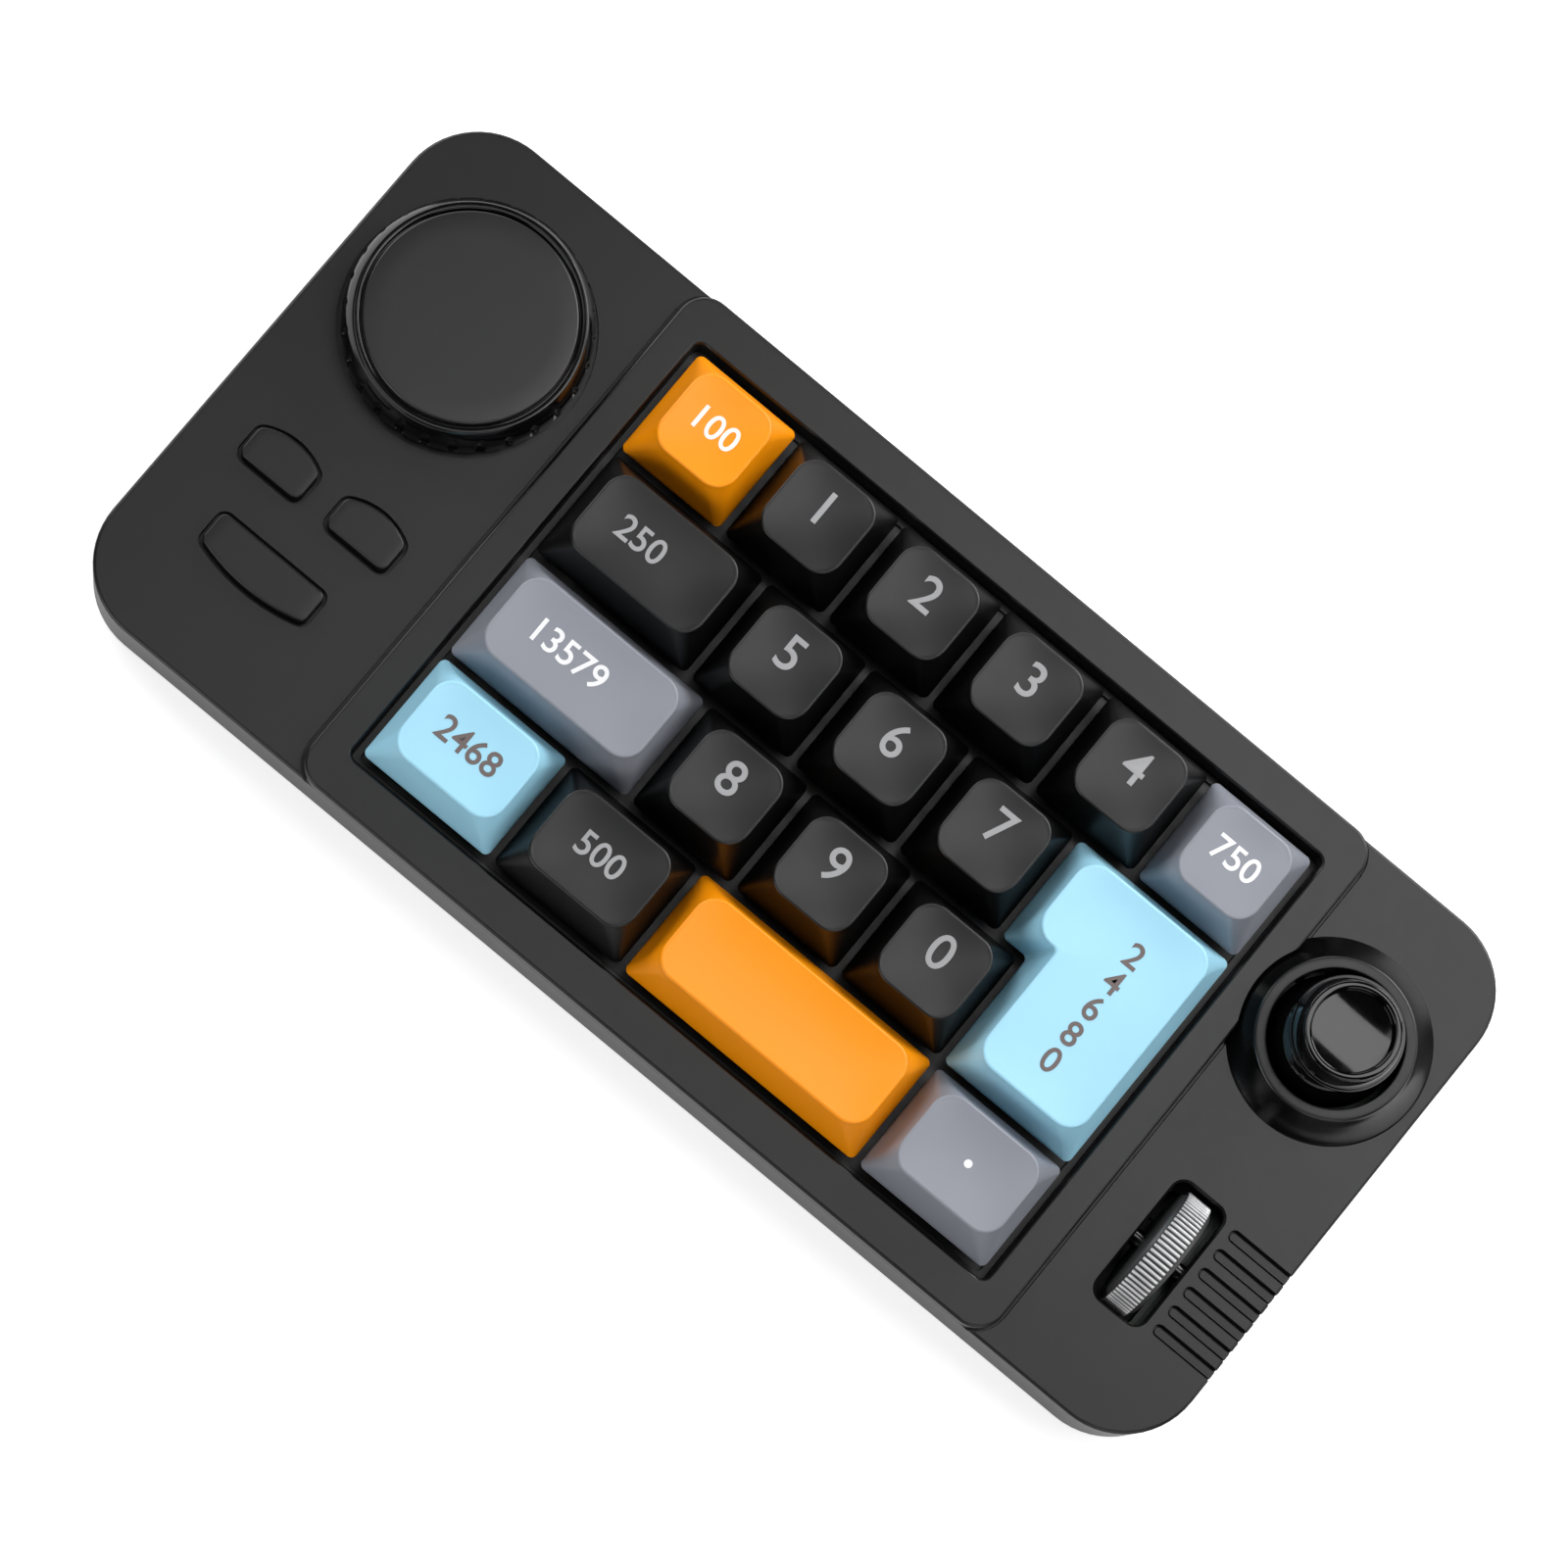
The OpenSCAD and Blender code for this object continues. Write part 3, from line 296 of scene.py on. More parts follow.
def join_shells(shells):
    """Several (points, quads) pairs as one pair, with the quads renumbered."""
    points, quads, start = [], [], 0
    for p, q in shells:
        points.append(p)
        quads.append(q + start)
        start += len(p)
    return np.concatenate(points), np.concatenate(quads)


def merged(mesh, distance=MERGE, outward=True, split=False):
    """The mesh with points closer than distance made one. outward turns its faces outwards, split
    divides them into triangles."""
    work = bmesh.new()
    work.from_mesh(mesh)
    bmesh.ops.remove_doubles(work, verts=work.verts, dist=distance)
    if split:
        bmesh.ops.triangulate(work, faces=work.faces)
    if outward:
        bmesh.ops.recalc_face_normals(work, faces=work.faces)
    work.to_mesh(mesh)
    work.free()
    return mesh


def shell_mesh(name, shells, distance=MERGE):
    """One mesh in metres of closed shells in mm."""
    points, quads = join_shells(shells)
    mesh = bpy.data.meshes.new(name)
    mesh.from_pydata((points * MM).tolist(), [], quads.tolist())
    return merged(mesh, distance)


def place(name, mesh, finish, material, body, stands_for=(), crease=35):
    """Puts a mesh into the scene, smooth but for edges sharper than crease degrees, with its
    material, its body and the nodes that it stands for."""
    mesh.shade_smooth()
    mesh.set_sharp_from_angle(angle=math.radians(crease))
    made = bpy.data.objects.new(name, mesh)
    bpy.context.scene.collection.objects.link(made)
    mesh.materials.clear()
    mesh.materials.append(material)
    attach(made, body)
    if stands_for:
        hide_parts(*stands_for)
    return made


def piece(name, shells, finish, body, stands_for, crease=35, look=None):
    """A finished piece from closed shells in mm, riding on its body in place of its CAD nodes.
    look, where given, names the finish that is used in place of finish."""
    mesh = shell_mesh(name, shells, 2 * MERGE)
    place(name, mesh, finish, FINISH[look or finish], body, stands_for, crease)


def stacked(rings):
    """Closed shell through rings of equal length, given bottom to top or outside to inside."""
    stack = np.stack(rings)
    return stack.reshape(-1, 3), skin(*stack.shape[:2])


def turned(profile, centre, steps=180, shape=None, angles=None):
    """Surface of revolution about an upright axis: point (r cos a, r sin a, z) for each (r, z) of
    the profile and each angle a. shape(a, r, z) may give another radius at each angle."""
    r, z = np.asarray(profile, float).T[:, :, None]
    a = np.linspace(0, TAU, steps, endpoint=False) if angles is None else np.asarray(angles)
    a = a[None, :]
    radius = r + 0 * a if shape is None else shape(a, r, z)
    points = np.stack([centre[0] + radius * np.cos(a), centre[1] + radius * np.sin(a),
                       z + 0 * a], -1)
    return points.reshape(-1, 3), skin(len(r), a.size)


def arc(cx, cy, radius, start, end, steps):
    """Points of a circular arc about (cx, cy), angles in degrees from the first axis."""
    a = np.radians(np.linspace(start, end, steps))
    return [(cx + radius * c, cy + radius * s) for c, s in zip(np.cos(a), np.sin(a))]


def over_deck(profile):
    """A half section whose heights are given from the deck, with heights of the shared frame."""
    return [(r, DECK + z) for r, z in profile]


def level(outline, z):
    """A flat outline as a ring of points at height z."""
    flat = np.asarray(outline, float)
    return np.column_stack([flat, np.full(len(flat), z)])


def rounded_ring(corners, radius, z, steps=8, along=6):
    """Right-angled outline with rounded corners: about each corner's centre the point runs from
    the side before to the side after, and along extra points divide each straight side. The sixth
    corner, which only the tall key's outline has, points inwards and stays tight."""
    v = np.asarray(corners, float)
    radius = np.full((len(v), 1), float(radius))
    radius[5:] = np.minimum(radius[5:], INNER_CORNER_R)
    to_last = np.roll(v, 1, 0) - v
    to_next = np.roll(v, -1, 0) - v
    u = to_last / np.linalg.norm(to_last, axis=1)[:, None]
    w = to_next / np.linalg.norm(to_next, axis=1)[:, None]
    a = np.linspace(0, math.pi / 2, steps + 1)[None, :, None]
    centre = (v + radius * (u + w))[:, None]
    bends = centre - radius[:, :, None] * (w[:, None] * np.cos(a) + u[:, None] * np.sin(a))
    t = np.linspace(0, 1, along + 2)[1:-1][None, :, None]
    sides = bends[:, -1:] * (1 - t) + np.roll(bends[:, :1], -1, 0) * t
    return level(np.concatenate([bends, sides], 1).reshape(-1, 2), z)


def prism(outline, middle, low, high):
    """Closed upright bar of one outline, given at height 0; both ends close from the middle."""
    centre = outline * 0 + [*middle, 0]
    return stacked([centre + [0, 0, low], outline + [0, 0, low], outline + [0, 0, high],
                    centre + [0, 0, high]])


def post_shell(x, y, radius, low, high, steps=40):
    """Closed upright round post."""
    return turned([(0, low), (radius, low), (radius, high), (0, high)], (x, y), steps)


def block_shell(x, y, half, low, high):
    """Closed upright square bar with small round corners."""
    corners = [[x - half, y - half], [x + half, y - half], [x + half, y + half],
               [x - half, y + half]]
    return prism(rounded_ring(corners, SLIDER_CORNER_R, 0, 3, 0), (x, y), low, high)


def bar_shell(x0, x1, y0, y1, z0, z1):
    """Closed box between two corners."""
    outline = level([[x0, y0], [x1, y0], [x1, y1], [x0, y1]], 0)
    return prism(outline, ((x0 + x1) / 2, (y0 + y1) / 2), z0, z1)


def moved(shell, x, y, z=0.0):
    """A shell moved by x, y, z."""
    return shell[0] + [x, y, z], shell[1]


# ---------------------------------------------------------------- keycaps
def plain_outline(units):
    """Corners of a rectangular cap of that many units, as a function of the inset."""
    half_x = (units * PITCH - CAP_GAP) / 2
    half_y = CAP_BASE / 2

    def corners(inset):
        x, y = half_x - inset, half_y - inset
        return [[-x, -y], [x, -y], [x, y], [-x, y]]
    return corners


def enter_outline(inset):
    """Corners of the tall key, whose back row reaches a quarter unit further left."""
    half_x = (ENTER_UNITS * PITCH - CAP_GAP) / 2
    x = half_x - inset
    left = -half_x - 0.25 * PITCH + inset
    y = PITCH - CAP_GAP / 2 - inset
    notch = CAP_GAP / 2 + inset
    return [[-x, -y], [x, -y], [x, y], [left, y], [left, notch], [-x, notch]]


def swell(d):
    """Rises from 0 at a side to 1 at the distance DISH_RUN from it, flat at the end:
    1 - (1 - q)^2, where q is the distance's share of DISH_RUN."""
    q = np.clip(d / DISH_RUN, 0, 1)
    return 1 - (1 - q) ** 2


def dish(corners, x, y):
    """Depth of the dished top: the product of the swells away from each side. Round the tall
    key's inner corner the distance is the straight one to that corner or to its two sides."""
    v = np.asarray(corners(CAP_INSET + CAP_RIM), float)
    depth = swell(v[1][0] - x) * swell(y - v[0][1]) * swell(v[2][1] - y) * swell(x - v[3][0])
    if len(v) == 6:
        beside = np.hypot(np.maximum(x - v[5][0], 0), np.maximum(y - v[5][1], 0))
        depth = depth * swell(beside)
    return CAP_DISH * depth


def flank_inset(t):
    """Hollow flank: the inset grows a little faster at the foot than at the rim."""
    return CAP_INSET * (t + 0.25 * t * (1 - t))


# Heights of the rings up the flank as shares of it, turns round the rim in degrees, and sizes of
# the rings in across the dish as shares of the rim's
FLANK_RINGS = (0.02, 0.08, 0.18, 0.3, 0.42, 0.54, 0.66, 0.78, 0.88, 0.95, 1.0)
RIM_TURNS = (18, 36, 54, 72, 90)
DISH_RINGS = (0.985, 0.95, 0.9, 0.82, 0.72, 0.6, 0.46, 0.32, 0.18, 0.0)


def cap_shell(corners, middle):
    """Closed skin of a cap, from the middle of the hollow out over the foot, up the hollow flank,
    round the rim and in across the dish. Ring k is the outline at that inset, radius and height."""
    ceiling = rounded_ring(corners(CAP_WALL + HOLLOW_TAPER), CAP_FOOT_R, HOLLOW_DEPTH)
    rings = [
        ceiling * 0 + [*middle, HOLLOW_DEPTH],
        ceiling,
        rounded_ring(corners(CAP_WALL), HOLLOW_R, CAP_CHAMFER),
        rounded_ring(corners(CAP_WALL - CAP_CHAMFER), HOLLOW_R, 0),
        rounded_ring(corners(CAP_UNDER_INSET), CAP_UNDER_R, 0),
    ]
    flank_h = CAP_H - CAP_RIM
    for t in FLANK_RINGS:
        radius = CAP_FOOT_R + (CAP_TOP_R - CAP_FOOT_R) * t ** 1.2
        rings.append(rounded_ring(corners(flank_inset(t)), radius, t * flank_h))
    for a in np.radians(RIM_TURNS):
        turn = CAP_RIM * (1 - math.cos(a))
        rings.append(rounded_ring(corners(CAP_INSET + turn), CAP_TOP_R - turn,
                                  flank_h + CAP_RIM * math.sin(a)))
    rim = rings[-1]
    for s in DISH_RINGS:
        ring = rim.copy()
        ring[:, :2] = np.asarray(middle) + s * (rim[:, :2] - middle)
        ring[:, 2] = CAP_H - dish(corners, ring[:, 0], ring[:, 1])
        rings.append(ring)
    return stacked(rings)


def keycap(name, corners, middle, centre, finish, body, posts, more=()):
    """A cap with its square switch slider, the round post above it and any stabiliser posts. more
    lists the other CAD nodes of the same moulding."""
    shells = [moved(cap_shell(corners, middle), *centre, CAP_Z), post_shell(*centre, *POST),
              block_shell(*centre, *SLIDER)]
    shells += [post_shell(centre[0] + dx, centre[1] + dy, *SIDE_POST) for dx, dy in posts]
    piece(name, shells, finish, body, [name, *more], 40)


def mark(name, words, size, at, corners, centre, finish, body, line_pitch=1.0):
    """A number as a thin slab laid on the dish: its outline is filled flat, then each point is
    lifted to the height of the cap's top at its place, plus its own small thickness."""
    text = bpy.data.curves.new(name, "FONT")
    text.body = words
    text.align_x = "CENTER"
    text.align_y = "CENTER"
    text.size = size
    text.extrude = MARK_EXTRUDE
    text.offset = MARK_BOLD
    text.resolution_u = 6
    text.space_line = line_pitch
    holder = bpy.data.objects.new(name + "_text", text)
    bpy.context.scene.collection.objects.link(holder)
    bpy.context.view_layer.update()
    mesh = bpy.data.meshes.new_from_object(holder)
    bpy.data.objects.remove(holder)
    merged(mesh, MARK_MERGE, split=True)
    co = np.zeros(len(mesh.vertices) * 3)
    mesh.vertices.foreach_get("co", co)
    co = co.reshape(-1, 3)
    x, y = at[0] + co[:, 0], at[1] + co[:, 1]
    z = CAP_TOP - dish(corners, x, y) + MARK_LIFT + co[:, 2] * MARK_SQUEEZE
    done = np.column_stack([x + centre[0], y + centre[1], z]) * MM
    mesh.vertices.foreach_set("co", done.ravel())
    mesh.update()
    place(name, mesh, None, MARK_INK[finish], body, (), 30)


def dot_mark(name, centre, finish, body):
    """A small round dot in the middle of a cap's dish."""
    top = CAP_TOP - CAP_DISH
    dot = post_shell(*centre, DOT_R, top - DOT_SUNK, top + DOT_LIFT, 32)
    place(name, shell_mesh(name, [dot]), None, MARK_INK[finish], body)


for r, row in enumerate(ROWS):
    for c, units in enumerate(row):
        key = f"r{r + 1}_{c + 1}"
        body = "key_" + key
        corners, centre = plain_outline(units), key_centre(r, c)
        finish, words = KEY_FINISH[r][c], KEY_MARKS[r][c]
        posts = ((-SIDE_POST_AWAY, 0), (SIDE_POST_AWAY, 0)) if units > 2 else ()
        keycap("keycap_" + key, corners, (0, 0), centre, finish, body, posts)
        if words == "dot":
            dot_mark("mark_" + key, centre, finish, body)
        elif words:
            size, at = WORD_SIZE, WIDE_WORD_AT if units > WIDE_UNITS else WORD_AT
            if len(words) == 1:
                size, at = DIGIT_SIZE, DIGIT_AT
            mark("mark_" + key, words, size, at, corners, centre, finish, body)

keycap("keycap_enter", enter_outline, ENTER_MIDDLE, ENTER, "key_blue", "key_enter",
       ((0, -SIDE_POST_AWAY), (0, SIDE_POST_AWAY)), ["keycap_enter_step"])
mark("mark_enter", "\n".join(ENTER_MARK), WORD_SIZE, ENTER_WORD_AT, enter_outline, ENTER,
     "key_blue", "key_enter", ENTER_LINE_PITCH)

# ---------------------------------------------------------------- dial
DIAL_R = 18.1
NOTCHES = 28
NOTCH_ANGLE = TAU / NOTCHES
NOTCH_R = 0.75
NOTCH_AXIS = 18.3
NOTCH_LOW = DECK + 0.62
SKIRT_IN_R = 17


def notched(a, r, z):
    """Skirt radius with round notches: near each of the equal angles the radius is at most that
    of the near side of an upright cylinder, whose own radius is NOTCH_R and whose axis stands at
    NOTCH_AXIS. Inside the skirt and under NOTCH_LOW it stays whole."""
    off = np.abs((a % NOTCH_ANGLE) - NOTCH_ANGLE / 2) * DIAL_R
    floor_r = NOTCH_AXIS - np.sqrt(np.maximum(NOTCH_R ** 2 - off ** 2, 0))
    cut = (off < NOTCH_R - 0.001) & (r > SKIRT_IN_R) & (z > NOTCH_LOW)
    return np.where(cut, np.minimum(r, floor_r), r)


# Columns of the dial's mesh in mm along the skirt from each notch's middle, close together across
# the notch and its two edges
notch_columns = np.concatenate([[-1.6875, -1.30625, -0.8, -0.725], np.linspace(-0.7, 0.7, 13),
                                [0.725, 0.8, 1.30625, 1.6875]])
notch_middles = (np.arange(NOTCHES) + 0.5) * NOTCH_ANGLE
dial_angles = (notch_middles[:, None] + notch_columns / DIAL_R).ravel()
dial_profile = over_deck(
    [(0, 6.9), (15.65, 6.9), (15.65, 8.0)]
    + arc(15.95, 8.0, 0.3, 180, 90, 5)
    + arc(16.45, 8.0, 0.3, 90, 50, 4)
    + [(16.9, 7.75), (17.2, 7.3), (17.45, 6.8), (17.65, 6.3), (17.8, 5.8), (17.92, 5.3),
       (18.0, 4.8), (18.06, 4.4), (18.1, 3.8), (18.1, 2.8), (18.1, 1.8), (18.08, 1.0), (18.0, 0.7),
       (17.95, 0.62), (17.5, 0.55), (17.9, 0.45), (17.9, -0.2), (17.85, -0.25), (16.7, -0.25),
       (16.7, 5.4), (5, 5.4), (5, 1.5), (3.02, 1.5), (3.02, 5.6), (0, 5.6)])
piece("dial_knob", [turned(dial_profile, DIAL, shape=notched, angles=dial_angles)], "dial_gloss",
      "dial", ["dial_knob"])
disc_profile = over_deck(
    [(0, 6.9), (15.3, 6.9), (15.35, 7.0)]
    + arc(15.0, 8.15, 0.35, 0, 90, 7)
    + [(12, 8.5), (8, 8.5), (4, 8.5), (0, 8.5)])
piece("dial_disc", [turned(disc_profile, DIAL, 192)], "dial_matte", "dial", ["dial_disc"], 40)

# ---------------------------------------------------------------- buttons
BUTTON_TOP = DECK + 1.6
BUTTON_GAP = 0.65
BUTTON_EDGE = 0.28
FLANGE_LOW, FLANGE_TOP, FLANGE_GROWS = 12.0, 13.0, 0.5
PLUNGER = (1.6, 10.7, 12.1)         # radius, low end, high end


def arched_ring(w, r, side, arc_r, g, z, half_turn):
    """Button outline grown by g: four rounded corners of radius r, straight flanks, and a back
    edge that is an arc of radius arc_r through which the last two corners run on."""
    hw, big, small = w / 2 + g, arc_r + g, r + g
    rise = arc_r - math.sqrt(arc_r ** 2 - w ** 2 / 4)
    low = -(side + rise) / 2 - g
    cy = (side + rise) / 2 - arc_r
    cx = hw - small
    reach = math.sqrt((big - small) ** 2 - cx ** 2)
    tip = math.degrees(math.atan2(reach, cx))
    outline = np.array(
        arc(-cx, low + small, small, 180, 270, 12) + arc(cx, low + small, small, 270, 360, 12)
        + arc(cx, cy + reach, small, 0, tip, 12) + arc(0, cy, big, tip, 180 - tip, 40)[1:-1]
        + arc(-cx, cy + reach, small, 180 - tip, 180, 12))
    return level(-outline if half_turn else outline, z)


def button(name, at, sizes, half_turn, body):
    """A button: retaining flange, upright walls, a rounded upper edge and a flat top."""
    def ring(g, z):
        return arched_ring(*sizes, g, z, half_turn)

    rings = [ring(FLANGE_GROWS, FLANGE_LOW), ring(FLANGE_GROWS, FLANGE_TOP),
             ring(-BUTTON_GAP, FLANGE_TOP)]
    rings.insert(0, rings[0] * [0, 0, 1])
    for a in np.radians(np.linspace(0, 90, 7)):
        rings.append(ring(-BUTTON_GAP - BUTTON_EDGE * (1 - math.cos(a)),
                          BUTTON_TOP - BUTTON_EDGE * (1 - math.sin(a))))
    rim = rings[-1]
    rings += [rim * [s, s, 1] for s in (0.8, 0.5, 0.2, 0.0)]
    shells = [moved(stacked(rings), *at), post_shell(*at, *PLUNGER)]
    piece(name, shells, "button_black", body, [name], 45)


# Width, corner radius, flank height and back edge's radius of the holes
SMALL_HOLE = (12.1, 1.9, 5.85, 10.5)
WIDE_HOLE = (20, 1.7, 6.15, 31)
button("button_left", (-84.9, -12.5), SMALL_HOLE, False, "left_button")
button("button_right", (-69.1, -12.5), SMALL_HOLE, False, "right_button")
button("button_wide", (-77.05, -26.7), WIDE_HOLE, True, "wide_button")

# ---------------------------------------------------------------- thumb stick
collar_profile = (
    [(10.0, DECK), (10.0, 19.8)] + arc(10.2, 19.8, 0.2, 180, 90, 5)
    + [(10.5, 20), (10.8, 20), (11.0, 20)] + arc(11.35, 19.5, 0.5, 80, 30, 7)
    + [(12.1, 19.0), (12.6, 18.2), (13.1, 17.45), (13.6, 16.8), (14.1, 16.2), (14.6, 15.65),
       (14.85, 15.4), (15.0, DECK)]
)
collar = turned(collar_profile + collar_profile[:1], STICK, 192)
piece("stick_collar", [collar], "stick_gloss", "root", ["stick_collar"], 40, "collar_black")

BELL_R, BELL_INNER_R = 9.6, 8.7
HEAD_R, HEAD_DISH = 5.7, 0.42
# From the axis down the bell's inside, up its outside and the neck, round the flange, up the head,
# over its rim and in across its dish
stick_profile = (
    [(0, PIVOT_Z + 8.2)]
    + arc(0, PIVOT_Z, BELL_INNER_R, 70, 10, 16)
    + arc(0, PIVOT_Z, BELL_R, 9, 61, 22)
    + arc(7.7, 24.6, 3.4, 205, 120, 10)
    + [(6.4, 27.35), (7.4, 27.5)]
    + arc(7.55, 28.25, 0.72, -80, 60, 9)
    + [(7.7, 29.2), (7.45, 29.9), (7.25, 30.7), (7.12, 31.5), (7.05, 32.1)]
    + arc(6.76, 32.58, 0.28, 5, 75, 6)
    + [(6.65, 32.88), (6.45, 32.9), (6.28, 32.88)]
    + arc(6.16, 32.58, 0.28, 105, 175, 6)
    + [(5.88, 32.0), (5.85, 31.6), (5.8, 31.4)]
    + [(r, 30.8 + HEAD_DISH * (r / HEAD_R) ** 2)
       for r in (HEAD_R, 5.4, 4.8, 4.2, 3.6, 3.0, 2.4, 1.8, 1.2, 0.6, 0)]
)
piece("stick_cap", [turned(stick_profile, STICK)], "stick_gloss", "stick", ["stick_cap"], 40)

# ---------------------------------------------------------------- scroll wheel
RIBS = 74
RIB_H = 0.35
RIB_STEPS = 10
WHEEL_R = 9.9
BAND_IN_R = 9.5
# Left half of the wheel's profile: places across its width and their radii
WHEEL_HALF = [
    (-2.7, 0), (-2.7, 6.0), (-2.7, 8.4), (-2.62, 8.75), (-2.5, 8.95), (-2.3, 9.15), (-2.1, 9.3),
    (-2.0, 9.4), (-1.95, 9.55), (-1.95, 9.8), (-1.8, WHEEL_R), (-0.9, WHEEL_R)]


def wheel_shell():
    """The wheel turned about the X axis: across its width the radius follows a profile, and on
    the band it drops by half of RIB_H times 1 - w, where w is 1.6 times the cosine of RIBS times
    the angle, plus 0.2, held between -1 and 1."""
    across = np.array(WHEEL_HALF + [(0, WHEEL_R)] + [(-x, r) for x, r in WHEEL_HALF[::-1]])
    steps = RIBS * RIB_STEPS
    a = np.linspace(0, TAU, steps, endpoint=False)[None, :]
    x, r = across.T[:, :, None]
    wave = np.clip(1.6 * np.cos(RIBS * a) + 0.2, -1, 1)
    low = RIB_H / 2 * (1 - wave)
    radius = r - np.where(r > BAND_IN_R, low, 0)
    points = np.stack([WHEEL[0] + x + 0 * a, WHEEL[1] + radius * np.cos(a),
                       WHEEL_Z + radius * np.sin(a)], -1)
    return points.reshape(-1, 3), skin(len(across), steps)


piece("scroll_wheel", [wheel_shell()], "wheel_metal", "wheel", ["scroll_wheel"], 40)

# ---------------------------------------------------------------- shell and frame
GROOVE_X = 88.9
GROOVE_HALF = 0.98
GROOVE_FLOOR = 14.1
GROOVE_PITCH = 3.44
GROOVE_YS = [WHEEL[1] + GROOVE_PITCH * (k - 2.5) for k in range(6)]
CHANNEL_W = 0.42
CHANNEL_DEPTH = 0.75
CHANNEL_OVER = 0.05         # how far the cutter stands over the floor
CHANNEL_END = 101.0         # past the side wall
FRAME_LEFT, FRAME_RIGHT = KEY_X - 63, KEY_X + 63
FRAME_REACH = 41
SEAM = 0.55
SEAM_DEPTH = 0.8
SEAM_OVER = 0.3
SEAM_UNDER_FRAME = 0.02
# Roundings: the least, that of rims and holes, that of the six grooves
EDGE, EDGE_RIM, EDGE_GROOVE = 0.12, 0.2, 0.3
BEVEL_STEPS = 3
# Angles in degrees: below the first, facets are joined; above the second, edges are rounded
FLAT_ANGLE, SHARP_ANGLE = 0.6, 38
# Where the rims to round are: x that the grooves start at, their reach in y from the wheel, the
# slot's reach in x and y from it, x that the button holes end at, their middle and reach in y
GROOVES_X, GROOVES_REACH = 87.8, 9.8
SLOT_REACH_X, SLOT_REACH_Y = 5, 11.1
HOLES_X, HOLES_Y, HOLES_REACH = -66, -19, 16


def channel_shell(x, y, half, width, low, high):
    """Closed U-shaped bar that follows a groove's floor: a half ring about (x, y) and two arms
    that run on to the right. The outer side is half from the middle line, the inner one is
    width closer."""
    sides = []
    for r, z in ((half, low), (half, high), (half - width, high), (half - width, low)):
        line = [(CHANNEL_END, y - r)] + arc(x, y, r, -90, -270, 17) + [(CHANNEL_END, y + r)]
        sides.append(level(line, z))
    points, quads = stacked(np.stack(sides, 1))
    n = len(points)
    ends = np.array([[3, 2, 1, 0], [n - 4, n - 3, n - 2, n - 1]])
    return points, np.concatenate([quads, ends])


def carved(mesh, shells):
    """The mesh with closed shells in mm cut out of it."""
    block = bpy.data.objects.new("block", mesh)
    tool = bpy.data.objects.new("cutter", shell_mesh("cutter", shells))
    for made in (block, tool):
        bpy.context.scene.collection.objects.link(made)
    cut = block.modifiers.new("cut", "BOOLEAN")
    cut.operation = "DIFFERENCE"
    cut.solver = "EXACT"
    cut.object = tool
    bpy.context.view_layer.update()
    done = bpy.data.meshes.new_from_object(block.evaluated_get(
        bpy.context.evaluated_depsgraph_get()))
    for made in (block, tool):
        bpy.data.objects.remove(made)
    return done


def softened(node, finish, widths, cuts=()):
    """A copy of a CAD piece with its points merged, flat facets joined and sharp edges rounded.
    widths(x, y, z) gives the rounding of the edge whose middle is there, in mm. cuts are closed
    shells that are carved out first."""
    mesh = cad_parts[node].data.copy()
    if cuts:
        mesh = carved(merged(mesh, outward=False), cuts)
    mesh.name = node + "_soft"
    work = bmesh.new()
    work.from_mesh(mesh)
    bmesh.ops.remove_doubles(work, verts=work.verts, dist=MERGE)
    bmesh.ops.dissolve_limit(work, angle_limit=math.radians(FLAT_ANGLE), verts=work.verts,
                             edges=work.edges)
    work.edges.ensure_lookup_table()
    ends = np.array([[v.co for v in e.verts] for e in work.edges]).mean(1) / MM
    bend = np.array([e.calc_face_angle(0.0) for e in work.edges])
    wide = np.where(bend > math.radians(SHARP_ANGLE), widths(*ends.T), 0)
    work.to_mesh(mesh)
    work.free()
    made = place(node + "_shell", mesh, finish, FINISH[finish], "root", [node], 30)
    weight = mesh.attributes.new("bevel_weight_edge", "FLOAT", "EDGE")
    weight.data.foreach_set("value", wide / wide.max())
    bevel = made.modifiers.new("edges", "BEVEL")
    bevel.width = wide.max() * MM
    bevel.segments = BEVEL_STEPS
    bevel.limit_method = "WEIGHT"
    bevel.harden_normals = True
    even = made.modifiers.new("flat_faces", "WEIGHTED_NORMAL")
    even.keep_sharp = True
    even.weight = 100


def cover_edges(x, y, z):
    """Wide rounding on the upper edges of the six grooves, less round the wheel's slot and on the
    button holes, the least elsewhere."""
    top = z > DECK - 0.05
    away_x, away_y = np.abs(x - WHEEL[0]), np.abs(y - WHEEL[1])
    grooves = top & (x > GROOVES_X) & (away_y < GROOVES_REACH)
    slot = (z > DECK - 0.4) & (away_x < SLOT_REACH_X) & (away_y < SLOT_REACH_Y)
    holes = top & (x < HOLES_X) & (np.abs(y - HOLES_Y) < HOLES_REACH)
    wide = np.full(x.shape, EDGE)
    wide[holes | slot] = EDGE_RIM
    wide[grooves] = EDGE_GROOVE
    return wide


def frame_edges(x, y, z):
    """Wider rounding round the frame's top than elsewhere."""
    return np.where(z > FRAME_TOP - 0.5, EDGE_RIM, EDGE)


